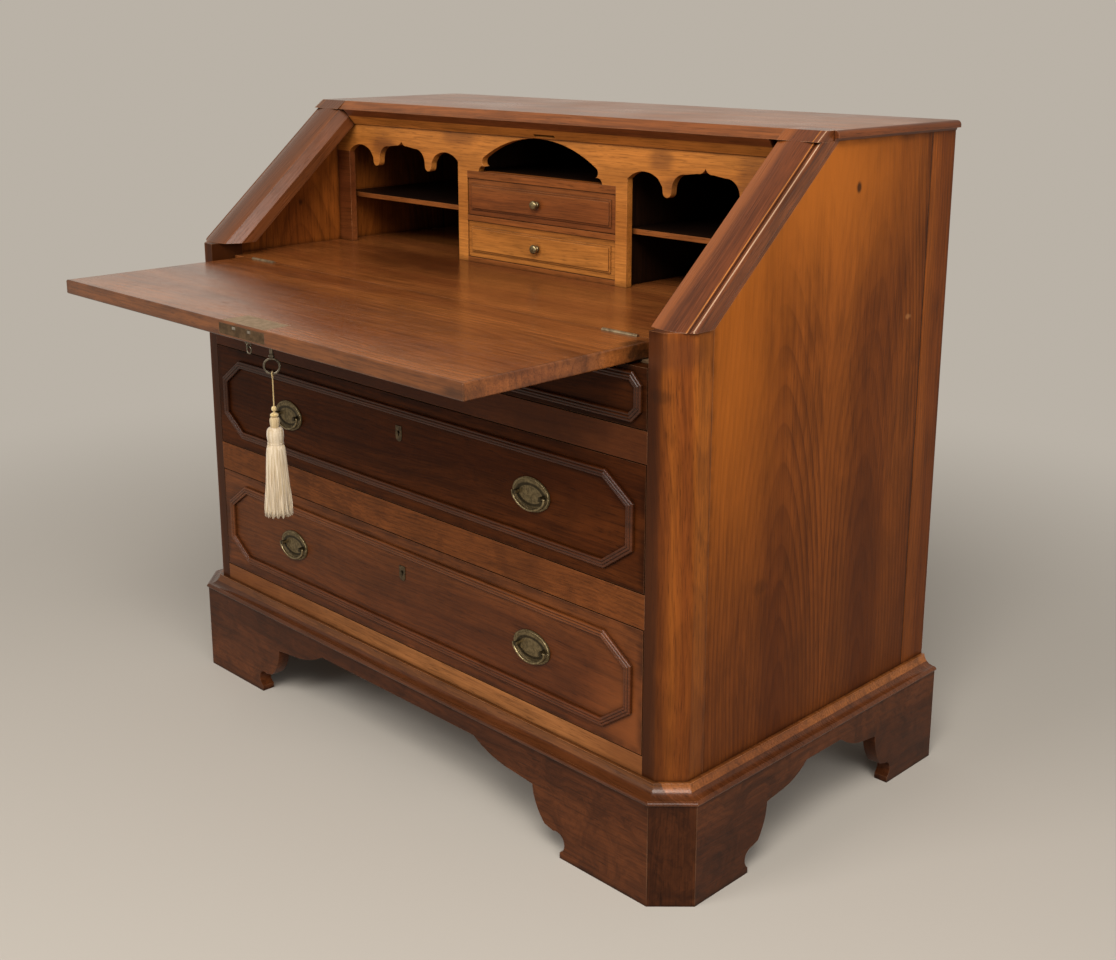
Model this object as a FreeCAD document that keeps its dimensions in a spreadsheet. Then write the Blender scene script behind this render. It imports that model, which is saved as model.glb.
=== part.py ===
import FreeCAD, Part
import math
import os
from types import SimpleNamespace

from FreeCAD import Placement, Rotation, Vector

# Slant-front writing desk with canted corners, three long drawers and a scrolled gallery.
# Millimetres. X runs to the right, Y to the back and Z up. The origin is on the floor, under the
# middle of the box that holds the desk with its fall open. The fall is open at rest.

SIZES = {
    # Carcase
    "width": 1100, "depth": 600,
    "side_thick": 25, "post_width": 54, "post_depth": 60, "post_cant": 31, "post_round": 5,
    "rear_stile_width": 61, "rear_stile_groove": 3, "back_thick": 12, "back_board_gap": 0.4,
    "top_thick": 14, "top_bevel": 16, "top_moulding_width": 8, "top_moulding_start": 15,
    "bottom_thick": 16, "bottom_rail": 27, "lower_rail": 48, "upper_rail": 43,
    "runner_width": 36, "runner_thick": 18, "guide_height": 30,
    # Base
    "plinth_height": 148, "plinth_thick": 22, "base_overhang": 25,
    "moulding_height": 21, "moulding_inside": 45, "bead_overhang": 28,
    "apron_height": 122, "front_foot": 162, "side_foot": 112, "rear_foot": 122,
    "front_apron": 375, "side_apron": 85, "rear_bracket": 120,
    "block_size": 60, "block_lift": 20,
    # Fall and writing bed
    "fall_thick": 22, "fall_setback": 44, "fall_angle": 41, "fall_gap": 0.5, "fall_round": 2.5,
    "nose_gap": 14, "strike_gap": 1.88, "strike_height": 26, "strike_depth": 26,
    "fall_rail_height": 28, "fall_rail_depth": 58,
    "stile_width": 81.5, "stile_overhang": 1, "stile_gap": 1, "stile_crown": 16, "stile_bead": 10,
    "stile_bevel": 14, "stile_rebate": 7, "stile_lap": 6,
    # Long drawers
    "drawer_three": 179, "drawer_two": 175, "drawer_one": 84, "front_thick": 20, "drawer_gap": 1.5,
    "drawer_side": 12, "drawer_back": 10, "drawer_floor": 8, "drawer_clearance": 38, "floor_lift": 8,
    "floor_groove": 5, "side_drop": 14, "run_gap": 0.3, "guide_gap": 1,
    "reed_width": 12, "reed_height": 6, "reed_margin": 24, "reed_cut_long": 46, "reed_cut_high": 33,
    "reed_cut_small": 12, "reed_margin_small": 13,
    # Gallery
    "gallery_height": 239, "fascia_thick": 12, "fascia_end": 36, "fascia_stile": 23,
    "upright_thick": 12, "centre_width": 336, "shelf_thick": 8, "shelf_height": 80, "shelf_setback": 6,
    "arch_floor": 12, "small_divider": 9, "small_base": 8, "arch_room": 88,
    "arch_rise": 37, "arch_head": 27, "arch_width": 254,
    "valance_peak": 50, "valance_spring": 75, "valance_tip": 97,
    "small_front": 14, "small_gap": 0.8, "small_side": 7, "small_floor": 5, "small_clearance": 36,
    "border_width": 9, "border_depth": 2, "border_step": 3,
    # Brass
    "hinge_length": 62, "hinge_inset": 60, "leaf_width": 18, "leaf_thick": 2, "knuckle_radius": 3,
    "pin_radius": 1.5, "pin_gap": 0.08, "knuckle_gap": 0.3, "knuckle_room": 0.7,
    "lock_offset": 22, "lock_width": 100, "lock_depth": 42, "lock_plate": 2, "lock_case_width": 74,
    "lock_case_thick": 10, "selvedge_width": 108, "selvedge_height": 15, "bolt_width": 44,
    "bolt_length": 20, "bolt_thick": 4, "prong_width": 8, "bolt_gap": 0.4,
    "key_offset": 22, "key_backset": 31, "key_radius": 2.6, "key_hole_radius": 4.2, "key_bit": 7,
    "key_drop": 35, "bow_radius": 10.5, "bow_wire": 1.6, "bit_room": 2.4,
    "pull_spacing": 574, "pull_width": 73, "pull_height": 49, "pull_thick": 1.5, "pull_rim": 3,
    "pull_post_spacing": 50, "pull_post_radius": 3.5, "pull_post_length": 10, "bail_stand": 7,
    "bail_wire": 1.8, "bail_half_width": 31, "bail_drop": 21, "bail_corner": 14, "bail_room": 0.1,
    "escutcheon_width": 14, "escutcheon_height": 24, "escutcheon_thick": 0.8, "escutcheon_rim": 1,
    "keyhole_drop": 60,
    "drawer_lock_width": 60, "drawer_lock_height": 34, "drawer_lock_thick": 12,
    "knob_radius": 7.5, "knob_stand": 12, "ring_radius": 5, "ring_wire": 1, "eye_radius": 3.2,
    "ring_offset": 8, "ring_inset": 6, "hang_gap": 0.2,
    # Tassel
    "cord_radius": 0.9, "cord_loop": 3.4, "cord_length": 45, "bead_radius": 3.6, "collar_radius": 6.6,
    "head_radius": 11.5, "head_length": 56.5, "skirt_top_radius": 12.5, "skirt_radius": 19,
    "skirt_length": 102,
}


class Size:
    """A length that carries its number and the spreadsheet expression that gives it."""

    def __init__(self, number, text):
        self.number = float(number)
        self.text = text

    def __float__(self):
        return self.number

    def __add__(self, other):
        other = as_size(other)
        return Size(self.number + other.number, "(%s + %s)" % (self.text, other.text))

    def __sub__(self, other):
        other = as_size(other)
        return Size(self.number - other.number, "(%s - %s)" % (self.text, other.text))

    def __mul__(self, other):
        other = as_size(other)
        return Size(self.number * other.number, "(%s * %s)" % (self.text, other.text))

    def __truediv__(self, other):
        other = as_size(other)
        return Size(self.number / other.number, "(%s / %s)" % (self.text, other.text))

    def __neg__(self):
        return Size(-self.number, "(-%s)" % self.text)

    def __radd__(self, other):
        return as_size(other) + self

    def __rsub__(self, other):
        return as_size(other) - self

    def __rmul__(self, other):
        return as_size(other) * self


def as_size(value):
    return value if isinstance(value, Size) else Size(value, "(%r)" % float(value))


doc = FreeCAD.newDocument("escritoire")
sheet = doc.addObject("Spreadsheet::Sheet", "sizes")
for row, (name, value) in enumerate(SIZES.items(), 1):
    sheet.set("A%d" % row, name)
    sheet.set("B%d" % row, str(value))
    sheet.setAlias("B%d" % row, name)
doc.recompute()
s = SimpleNamespace(**{name: Size(sheet.get(name), "sizes." + name) for name in SIZES})

# Levels and faces that several pieces share. Y is counted from the front of the carcase here.
half = s.width / 2
post_in = half - s.post_width
side_in = half - s.side_thick
stile_in = half - s.stile_width
fall_half = stile_in - s.stile_gap
back_face = s.depth - s.back_thick
rear_joint = s.depth - s.rear_stile_width
base_top = s.plinth_height + s.moulding_height
three_low = base_top + s.bottom_rail
three_high = three_low + s.drawer_three
two_low = three_high + s.lower_rail
two_high = two_low + s.drawer_two
one_low = two_high + s.upper_rail
fall_under = one_low + s.drawer_one
bed = fall_under + s.fall_thick
case_top = bed + s.gallery_height
height = case_top + s.top_thick

# The fall shuts along the slant, and its free edge stops just under the top's front edge.
cos_a = math.cos(math.radians(float(s.fall_angle)))
sin_a = math.sin(math.radians(float(s.fall_angle)))
slope = sin_a / cos_a
top_run = (s.gallery_height * cos_a - s.fall_thick - s.nose_gap) / sin_a
top_nose = s.fall_setback + top_run
top_setback = top_nose + s.top_bevel
gallery_front = top_nose + s.strike_depth
fall_length = top_run * cos_a + s.gallery_height * sin_a - s.strike_gap
fall_reach = fall_length - s.fall_setback
front = (fall_reach - s.depth) / 2


def slant_y(z):
    """Depth of the closed fall's inner face at a height."""
    return float(s.fall_setback) + (float(z) - float(bed)) / slope


def slant_z(y):
    return float(bed) + (float(y) - float(s.fall_setback)) * slope


rebate_run = float(s.stile_rebate) / sin_a
post_top = slant_z(float(s.post_depth) + rebate_run)
nodes = []


def bind(obj, prop, value):
    obj.setExpression(prop, as_size(value).text)


def keep(obj):
    """Mark an object as a finished sub-part, which is written to its own file."""
    nodes.append(obj)
    return obj


def board(name, x, y, z):
    """A straight board between two values on each axis."""
    box = doc.addObject("Part::Box", name)
    for prop, (low, high) in zip(("Length", "Width", "Height"), (x, y, z)):
        bind(box, prop, as_size(high) - low)
    bind(box, "Placement.Base.x", x[0])
    bind(box, "Placement.Base.y", front + y[0])
    bind(box, "Placement.Base.z", z[0])
    return box


def rod(name, x, y, z, radius, length, axis="Z"):
    """A round bar that starts at a point and runs along an axis."""
    turn = {"X": Rotation(Vector(0, 1, 0), 90), "Y": Rotation(Vector(1, 0, 0), -90), "Z": Rotation()}
    bar = doc.addObject("Part::Cylinder", name)
    bar.Placement = Placement(Vector(), turn[axis])
    bind(bar, "Radius", radius)
    bind(bar, "Height", length)
    bind(bar, "Placement.Base.x", x)
    bind(bar, "Placement.Base.y", front + y)
    bind(bar, "Placement.Base.z", z)
    return bar


def ring(name, x, y, z, radius, wire, axis, angle=0):
    """A closed ring of round wire. It lies across the axis, then turns about Z by the angle."""
    turn = {"X": Rotation(Vector(1, 1, 1), 120), "Y": Rotation(Vector(1, 0, 0), 90)}
    torus = doc.addObject("Part::Torus", name)
    torus.Placement = Placement(Vector(), Rotation(Vector(0, 0, 1), angle) * turn[axis])
    bind(torus, "Radius1", radius)
    bind(torus, "Radius2", wire)
    bind(torus, "Placement.Base.x", x)
    bind(torus, "Placement.Base.y", front + y)
    bind(torus, "Placement.Base.z", z)
    return torus


def edges_of(outline):
    """Lines and arcs of a closed outline. A step is a point, or a middle and an end for an arc."""
    start = here = Vector(float(outline[0][0]), float(outline[0][1]), 0)
    edges = []
    for step in outline[1:] + [outline[0]]:
        arc = isinstance(step[0], tuple)
        goal = step[1] if arc else step
        goal = Vector(float(goal[0]), float(goal[1]), 0)
        if arc:
            middle = Vector(float(step[0][0]), float(step[0][1]), 0)
            edges.append(Part.Arc(here, middle, goal))
        elif (goal - here).Length > 1e-6:
            edges.append(Part.LineSegment(here, goal))
        here = goal
    return edges


def end_of(step):
    return step[1] if isinstance(step[0], tuple) else step


def backwards(outline, side=1):
    """The steps that walk an outline back to its start, mirrored across X = 0 where side is -1."""
    steps = []
    for step, before in zip(outline[:0:-1], outline[-2::-1]):
        goal = (side * float(end_of(before)[0]), float(end_of(before)[1]))
        arc = isinstance(step[0], tuple)
        steps.append(((side * float(step[0][0]), float(step[0][1])), goal) if arc else goal)
    return steps


def symmetric(right, bridge=None):
    """A closed outline from its right half. The bridge is the middle of an arc across X = 0."""
    last = end_of(right[-1])
    across = (-float(last[0]), float(last[1]))
    return right + [(bridge, across) if bridge else across] + backwards(right, -1)


def sketch_in(body, name, plane, outline, offset):
    sketch = body.newObject("Sketcher::SketchObject", name)
    support = [f for f in body.Origin.OriginFeatures if f.Role == plane + "_Plane"][0]
    sketch.AttachmentSupport = [(support, "")]
    sketch.MapMode = "FlatFace"
    bind(sketch, "AttachmentOffset.Base.z", offset)
    for edge in edges_of(outline):
        sketch.addGeometry(edge, False)
    return sketch


def prism(name, plane, outline, low, high):
    """A body padded between two values on the axis that the sketch plane faces."""
    body = doc.addObject("PartDesign::Body", name)
    offset = -as_size(low) if plane == "XZ" else as_size(low)
    sketch = sketch_in(body, name + "_outline", plane, outline, offset)
    pad = body.newObject("PartDesign::Pad", name + "_pad")
    pad.Profile = sketch
    bind(pad, "Length", as_size(high) - low)
    pad.Reversed = plane == "XZ"
    bind(body, "Placement.Base.y", front)
    return body


def turned(name, outline, x, y, z, rotation=Rotation()):
    """A body of revolution: the outline holds radius and height along the turning axis."""
    body = doc.addObject("PartDesign::Body", name)
    sketch = sketch_in(body, name + "_outline", "XZ", outline, 0)
    spin = body.newObject("PartDesign::Revolution", name + "_turn")
    spin.Profile = sketch
    spin.ReferenceAxis = (sketch, ["V_Axis"])
    spin.Angle = 360
    body.Placement = Placement(Vector(), rotation)
    bind(body, "Placement.Base.x", x)
    bind(body, "Placement.Base.y", front + y)
    bind(body, "Placement.Base.z", z)
    return body


def fused(name, *members):
    joined = doc.addObject("Part::MultiFuse", name)
    joined.Shapes = list(members)
    joined.Refine = True
    return joined


def cut(name, base, *tools):
    result = doc.addObject("Part::Cut", name)
    result.Base = base
    result.Tool = tools[0] if len(tools) == 1 else fused(name + "_tools", *tools)
    return result


def mirrored(name, source):
    other = doc.addObject("Part::Mirroring", name)
    other.Source = source
    other.Base = Vector(0, 0, 0)
    other.Normal = Vector(1, 0, 0)
    return other


def group(name, *members):
    """Like pieces that share one node, each still its own solid."""
    pieces = doc.addObject("Part::Compound", name)
    pieces.Links = list(members)
    return pieces


def pair(name, right):
    return group(name, right, mirrored(name + "_left", right))


def softened(name, base, radius, test):
    """Round the edges that the test picks."""
    doc.recompute()
    result = doc.addObject("Part::Fillet", name)
    result.Base = base
    picked = [i for i, edge in enumerate(base.Shape.Edges, 1) if test(edge)]
    result.Edges = [(i, float(radius), float(radius)) for i in picked]
    return result


def along(edge, axis):
    """True for a straight edge that runs along the axis."""
    ends = [v.Point for v in edge.Vertexes]
    if len(ends) != 2 or not isinstance(edge.Curve, Part.Line):
        return False
    return abs((ends[1] - ends[0]).normalize().dot(axis)) > 0.999


def mitred_strips(path, outline, closed):
    """Moulded strips along a flat path, mitred where they meet. The outline holds the distance
    outwards from the path and the height above it; outwards is to the right of the path."""
    count = len(path) if closed else len(path) - 1
    points = [Vector(float(x), float(y), 0) for x, y in path]
    ways = [(points[(i + 1) % len(points)] - points[i]).normalize() for i in range(count)]
    sides = [Vector(w.y, -w.x, 0) for w in ways]
    spots = [spot for step in outline for spot in (step if isinstance(step[0], tuple) else (step,))]
    reach = [float(spot[0]) for spot in spots]
    rise = [float(spot[1]) for spot in spots]
    low, high = min(reach), max(reach)

    def mitre(corner):
        before = sides[corner - 1] if closed or corner > 0 else sides[0]
        after = sides[corner % count] if closed or corner < count else sides[-1]
        return (before + after) / (1 + before.dot(after))

    strips = []
    for i in range(count):
        begin, end = points[i], points[(i + 1) % len(points)]
        slack = (end - begin).Length + high - low
        frame = Placement()
        origin = end + ways[i] * slack
        frame.Matrix = FreeCAD.Matrix(sides[i].x, 0, -ways[i].x, origin.x,
                                      sides[i].y, 0, -ways[i].y, origin.y,
                                      0, 1, 0, 0, 0, 0, 0, 1)
        wire = Part.Wire([edge.toShape() for edge in edges_of(outline)])
        bar = Part.Face(wire).extrude(Vector(0, 0, (end - begin).Length + 2 * slack))
        bar.Placement = frame
        a, b = mitre(i), mitre(i + 1)
        corners = [begin + a * low, begin + a * high, end + b * high, end + b * low]
        wedge = Part.Face(Part.makePolygon(corners + corners[:1])).extrude(Vector(0, 0, max(rise) + 1))
        strips.append(bar.common(wedge).Solids[0])
    return strips


def moulding(name, strips, place):
    """Applied moulding: its mitred strips as separate solids of one node."""
    feature = doc.addObject("Part::Feature", name)
    feature.Shape = Part.Compound(strips)
    feature.Placement = place
    return feature


# Base: bracket feet under a mitred, moulded frame

cant_leg = s.post_cant + s.base_overhang * (2 - math.sqrt(2))
plinth_x = half + s.base_overhang
plinth_y = -s.base_overhang
APRON_DRAWN = 122
SCROLL_DRAWN = 180


def scroll(tip, length, way):
    """Foot edge from its tip on the floor to the apron: notch, bulge, step and long swell."""
    along_x = way * float(length) / SCROLL_DRAWN
    up = float(s.apron_height) / APRON_DRAWN

    def at(inwards, height):
        return (float(tip) + inwards * along_x, height * up)

    return [at(0, 0), at(0, 9), (at(-9, 25), at(13, 37)), at(30, 41), (at(46, 62), at(55, 93)),
            at(96, 97), (at(145, 106), at(180, APRON_DRAWN))]


front_tip = plinth_x - cant_leg - s.front_foot
front_scroll = front_tip - s.front_apron / 2
front_half = [(plinth_x - cant_leg, s.plinth_height), (plinth_x - cant_leg, 0)]
front_half += scroll(front_tip, front_scroll, -1)
keep(prism("plinth_front", "XZ", symmetric(front_half), plinth_y, plinth_y + s.plinth_thick))

side_start = plinth_y + cant_leg
side_scroll = (s.depth - side_start - s.side_foot - s.rear_foot - s.side_apron) / 2
rear_scroll = scroll(s.depth - s.rear_foot, side_scroll, -1)
side_outline = [(side_start, s.plinth_height), (side_start, 0)]
side_outline += scroll(side_start + s.side_foot, side_scroll, 1)
side_outline += [end_of(rear_scroll[-1])] + backwards(rear_scroll)
side_outline += [(s.depth, 0), (s.depth, s.plinth_height)]
plinth_right = keep(prism("plinth_right", "YZ", side_outline, plinth_x - s.plinth_thick, plinth_x))
keep(mirrored("plinth_left", plinth_right))

inner_x = plinth_x - s.plinth_thick
inner_y = plinth_y + s.plinth_thick
cant_outline = [(plinth_x - cant_leg, plinth_y), (plinth_x, side_start), (inner_x, side_start),
                (plinth_x - cant_leg, inner_y)]
keep(pair("plinth_cants", prism("plinth_cant", "XY", cant_outline, 0, s.plinth_height)))
block_outline = [(inner_x - s.block_size, inner_y), (plinth_x - cant_leg, inner_y), (inner_x, side_start),
                 (inner_x, inner_y + s.block_size), (inner_x - s.block_size, inner_y + s.block_size)]
keep(pair("glue_blocks", prism("glue_block", "XY", block_outline, s.block_lift, s.plinth_height)))
bracket = [(inner_x, 0), (inner_x, s.plinth_height), (inner_x - s.rear_bracket, s.plinth_height),
           (inner_x - s.rear_bracket, s.apron_height),
           ((inner_x - s.rear_bracket * 0.5, s.apron_height * 0.72), (inner_x - s.rear_bracket * 0.3, 0))]
keep(pair("rear_brackets", prism("rear_bracket", "XZ", bracket, s.depth - s.plinth_thick, s.depth)))

corner_path = [(-half, s.depth), (-half, s.post_cant), (-half + s.post_cant, 0), (half - s.post_cant, 0),
               (half, s.post_cant), (half, s.depth)]
bead, rim = float(s.bead_overhang), float(s.moulding_height)
hollow_low, hollow_high, lip = rim * 0.3, rim * 0.9, bead * 0.2
base_profile = [(-s.moulding_inside, 0), (bead - 1.5, 0), ((bead, rim * 0.12), (bead - 1.5, rim * 0.24)),
                (bead - 4, hollow_low), ((bead * 0.38, rim * 0.5), (lip, hollow_high)), (lip, rim),
                (-s.moulding_inside, rim)]
keep(moulding("base_moulding", mitred_strips(corner_path, base_profile, False),
              Placement(Vector(0, float(front), float(s.plinth_height)), Rotation())))
frame_in = half - s.moulding_inside
keep(board("base_rear_rail", (-frame_in, frame_in), (s.depth - s.moulding_inside, s.depth),
           (s.plinth_height, base_top)))

# Carcase

post_outline = [(post_in, 0), (half - s.post_cant, 0), (half, s.post_cant), (half, s.post_depth),
                (post_in, s.post_depth)]
post_block = prism("post_block", "XY", post_outline, base_top, post_top)


def is_cant_arris(edge):
    at = edge.CenterOfMass
    on_front = abs(at.x - float(half - s.post_cant)) < 1 and abs(at.y - float(front)) < 1
    on_side = abs(at.x - float(half)) < 1 and abs(at.y - float(front + s.post_cant)) < 1
    return along(edge, Vector(0, 0, 1)) and (on_front or on_side)


keep(pair("corner_posts", softened("corner_post", post_block, s.post_round, is_cant_arris)))
side_shape = [(s.post_depth, base_top), (rear_joint, base_top), (rear_joint, case_top),
              (slant_y(case_top) - rebate_run, case_top), (s.post_depth, post_top)]
keep(pair("side_panels", prism("side_panel", "YZ", side_shape, side_in, half)))
groove = s.rear_stile_groove
stile_outline = [(side_in, rear_joint), (half - groove, rear_joint), (half, rear_joint + groove),
                 (half, s.depth), (side_in, s.depth)]
keep(pair("rear_stiles", prism("rear_stile", "XY", stile_outline, base_top, case_top)))

crown = s.fall_thick + s.stile_crown
outer = half + s.stile_overhang
quirk = outer - s.stile_bead
face_in = stile_in + s.stile_bevel
slant_outline = [(stile_in, 0), (stile_in, s.fall_thick - 3), (face_in, crown - 4),
                 (((face_in + quirk) / 2, crown), (quirk, crown - 3)), (quirk + 1, crown - 6),
                 ((outer - 3, crown - 4.5), (outer, crown - 11)), (outer, s.stile_rebate * 2),
                 (half, s.stile_rebate * 2 - 2), (half, s.stile_rebate), (side_in, s.stile_rebate),
                 (side_in, 0)]
slant_bar = doc.addObject("PartDesign::Body", "slant_bar")
slant_pad = slant_bar.newObject("PartDesign::Pad", "slant_bar_pad")
slant_pad.Profile = sketch_in(slant_bar, "slant_bar_outline", "XZ", slant_outline, fall_length / 2)
slant_pad.Reversed = True
bind(slant_pad, "Length", fall_length * 2)
slant_bar.Placement = Placement(Vector(0, float(front + s.fall_setback), float(bed)),
                                Rotation(Vector(1, 0, 0), float(s.fall_angle)))
cant_line = half - s.post_cant + s.stile_lap
beyond_outer = outer + s.stile_lap
room_outline = [(stile_in, stile_in - cant_line), (beyond_outer, beyond_outer - cant_line),
                (beyond_outer, s.depth), (stile_in, s.depth)]
slant_room = prism("slant_room", "XY", room_outline, post_top, case_top)
slant_length = doc.addObject("Part::Common", "slant_length")
slant_length.Base = slant_bar
slant_length.Tool = slant_room
top_back = slant_y(case_top)
stile_nose = top_back - float(crown) / sin_a
cap_outline = [(stile_nose, case_top), (top_setback, height), (top_back, height), (top_back, case_top)]
keep(pair("slant_stiles", fused("slant_stile", slant_length,
                                prism("slant_cap", "YZ", cap_outline, face_in, half))))
top_outline = [(top_nose, case_top), (top_setback, height), (s.depth, height), (s.depth, case_top)]
keep(fused("top_board", prism("top_middle", "YZ", top_outline, -face_in, face_in),
           board("top_plank", (-half, half), (top_back, s.depth), (case_top, height))))
lip_out = half + s.top_moulding_width
step = s.top_thick / 11
edge_outline = [(half, case_top), (half + step, case_top),
                ((half + step * 1.6, case_top + step * 2), (lip_out - step / 2, case_top + step * 3)),
                (lip_out, case_top + step * 3), (lip_out, case_top + step * 6),
                ((lip_out - step * 1.65, height - step * 1.5), (half + step, height)), (half, height)]
keep(pair("top_mouldings", prism("top_edge", "XZ", edge_outline, top_setback + s.top_moulding_start,
                                 s.depth)))

BACK_BOARDS = 5
board_width = side_in * 2 / BACK_BOARDS
planks = []
for i in range(BACK_BOARDS):
    left = -side_in + board_width * i
    planks.append(board("back_board_%d" % (i + 1), (left + s.back_board_gap / 2,
                  left + board_width - s.back_board_gap / 2), (back_face, s.depth), (base_top, case_top)))
keep(group("back_boards", *planks))
rails = []
for name, low, high in (("lowest_rail", base_top, three_low), ("lower_rail_bar", three_high, two_low),
                        ("upper_rail_bar", two_high, one_low)):
    rails.append(board(name, (-post_in, post_in), (0, s.post_depth), (low, high)))
keep(group("drawer_rails", *rails))
keep(board("bottom_board", (-side_in, side_in), (s.post_depth, back_face),
           (base_top, base_top + s.bottom_thick)))
runners = []
for name, level, thick in (("three", three_low, s.bottom_rail - s.bottom_thick),
                           ("two", two_low, s.runner_thick), ("one", one_low, s.runner_thick)):
    runner = board("runner_" + name, (post_in - s.runner_width, side_in), (s.post_depth, back_face),
                   (level - thick, level))
    guide = board("guide_" + name, (post_in, side_in), (s.post_depth, back_face),
                  (level, level + s.guide_height))
    for piece in (runner, guide):
        runners += [piece, mirrored(piece.Name + "_left", piece)]
keep(group("drawer_runners", *runners))
rail_front = s.front_thick + s.drawer_gap
keep(board("fall_rail", (-post_in, post_in), (rail_front, rail_front + s.fall_rail_depth),
           (fall_under - s.fall_rail_height, fall_under)))

# Hinges of the fall. The pin's line is where the fall and the bed meet, at their upper faces.

hinge_middle = fall_half - s.hinge_inset
hinge_low = hinge_middle - s.hinge_length / 2
hinge_high = hinge_middle + s.hinge_length / 2
third = s.hinge_length / 3
leaf_gap = s.knuckle_radius + s.knuckle_room
leaf_z = (bed - s.leaf_width, bed - leaf_gap)
tab_z = (bed - leaf_gap, bed)
recess_z = (bed - s.leaf_width, bed)
pin_y = s.fall_setback
bed_front = s.fall_setback + s.fall_gap / 2
fall_back = s.fall_setback - s.fall_gap / 2
bed_leaf_y = (bed_front, bed_front + s.leaf_thick)
fall_leaf_y = (fall_back - s.leaf_thick, fall_back)


def knuckle(name, low, high, radius):
    return rod(name, low, pin_y, bed, radius, high - low, "X")


def hinge_slot(name):
    """Room for the knuckles where the fall meets the bed."""
    return knuckle(name, hinge_low - s.knuckle_gap, hinge_high + s.knuckle_gap, leaf_gap)


bed_leaf = board("bed_leaf", (hinge_low, hinge_high), bed_leaf_y, leaf_z)
bed_parts = [bed_leaf, knuckle("hinge_pin", hinge_low, hinge_high, s.pin_radius)]
for name, low, high in (("inner", hinge_low, hinge_low + third), ("outer", hinge_high - third, hinge_high)):
    bed_parts.append(knuckle("bed_knuckle_" + name, low, high, s.knuckle_radius))
    bed_parts.append(board("bed_tab_" + name, (low, high), bed_leaf_y, tab_z))
bed_hinge = fused("bed_hinge", *bed_parts)
keep(pair("bed_hinges", bed_hinge))
fall_leaf = board("fall_leaf", (hinge_low, hinge_high), fall_leaf_y, leaf_z)
middle_low = hinge_low + third + s.knuckle_gap
middle_high = hinge_high - third - s.knuckle_gap
fall_tab = board("fall_tab", (middle_low, middle_high), fall_leaf_y, tab_z)
fall_hinge = cut("fall_hinge", fused("fall_hinge_blank", fall_leaf, fall_tab,
                                     knuckle("fall_knuckle", middle_low, middle_high, s.knuckle_radius)),
                 knuckle("fall_bore", middle_low, middle_high, s.pin_radius + s.pin_gap))
keep(pair("fall_hinges", fall_hinge))

bed_half = [(post_in, bed_front), (post_in, s.post_depth), (side_in, s.post_depth), (side_in, back_face)]
bed_blank = prism("bed_blank", "XY", symmetric(bed_half), fall_under, bed)
bed_slots = [hinge_slot("bed_slot"), board("bed_recess", (hinge_low, hinge_high), bed_leaf_y, recess_z)]
keep(cut("writing_bed", bed_blank, *bed_slots, *[mirrored(t.Name + "_left", t) for t in bed_slots]))

# Gallery: a scrolled fascia in front of pigeonholes, an arch and two small drawers

fascia_back = gallery_front + s.fascia_thick
centre = s.centre_width / 2
hole_in = centre + s.fascia_stile
hole_out = side_in - s.fascia_end
small_opening = (s.gallery_height - s.small_base - s.small_divider - s.arch_floor - s.arch_room) / 2
low_base = bed + s.small_base
low_top = low_base + small_opening
high_base = low_top + s.small_divider
high_top = high_base + small_opening
arch_base = high_top + s.arch_floor
tip_z = float(case_top - s.valance_tip)
spring = float(case_top - s.valance_spring)
peak = float(case_top - s.valance_peak)
hole_half = float(hole_out - hole_in) / 2
VALANCE_DRAWN = 149


def across(x):
    return hole_half * x / VALANCE_DRAWN


valance_half = [(hole_half, spring), ((across(116), spring + 13), (across(88), spring + 4)),
                (across(80), spring - 7), (across(79), tip_z + 7),
                ((across(71), tip_z), (across(63), tip_z + 7)), (across(62), spring - 6),
                ((across(53), spring + 9), (across(36), spring + 14)), (across(14), spring + 17),
                ((across(5), peak - 6), (0, peak))]


def shifted(outline, x):
    moved = []
    for step in outline:
        arc = isinstance(step[0], tuple)
        moved.append(tuple(shifted(step, x)) if arc else (step[0] + x, step[1]))
    return moved


arch_half = float(s.arch_width) / 2
floor_z = float(arch_base)
arch_top = float(case_top - s.arch_head)
fascia_notch = slant_z(gallery_front)
fascia_half = [(stile_in, case_top), (stile_in, fascia_notch), (side_in, fascia_notch), (side_in, bed),
               (hole_out, bed)]
fascia_half += shifted(valance_half + backwards(valance_half, -1), float(hole_in) + hole_half)
fascia_half += [(hole_in, bed), (centre, bed), (centre, floor_z), (arch_half + 13, floor_z),
                ((arch_half + 10, floor_z + 6.5), (arch_half - 1, floor_z + 9)),
                ((arch_half + 4, floor_z + 16), (arch_half, arch_top - s.arch_rise))]
keep(prism("gallery_fascia", "XZ", symmetric(fascia_half, (0, arch_top)),
           gallery_front, fascia_back))
keep(pair("gallery_uprights", board("gallery_upright", (centre, centre + s.upright_thick),
                                    (fascia_back, back_face), (bed, case_top))))
side_shelf = board("side_shelf", (centre + s.upright_thick, side_in),
                   (fascia_back + s.shelf_setback, back_face),
                   (bed + s.shelf_height, bed + s.shelf_height + s.shelf_thick))
levels = [("drawer_floor", bed, low_base), ("drawer_divider", low_top, high_base),
          ("arch_floor", high_top, arch_base)]
keep(group("gallery_shelves", side_shelf, mirrored("side_shelf_left", side_shelf),
           *[board(n, (-centre, centre), (gallery_front, back_face), (a, b)) for n, a, b in levels]))

KNOB_SPIGOT = 2.2
knob_r = float(s.knob_radius)
knob_long = float(s.knob_stand)
spigot = float(s.small_front) * 0.6
knob_outline = [(0, -spigot), (KNOB_SPIGOT, -spigot), (KNOB_SPIGOT, 0), (knob_r * 0.65, 0),
                (knob_r * 0.65, 1.2),
                ((knob_r * 0.4, knob_long * 0.22), (knob_r * 0.45, knob_long * 0.42)),
                ((knob_r, knob_long * 0.68), (knob_r * 0.55, knob_long * 0.96)), (0, knob_long)]
face_out = Rotation(Vector(1, 0, 0), 90)


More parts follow.
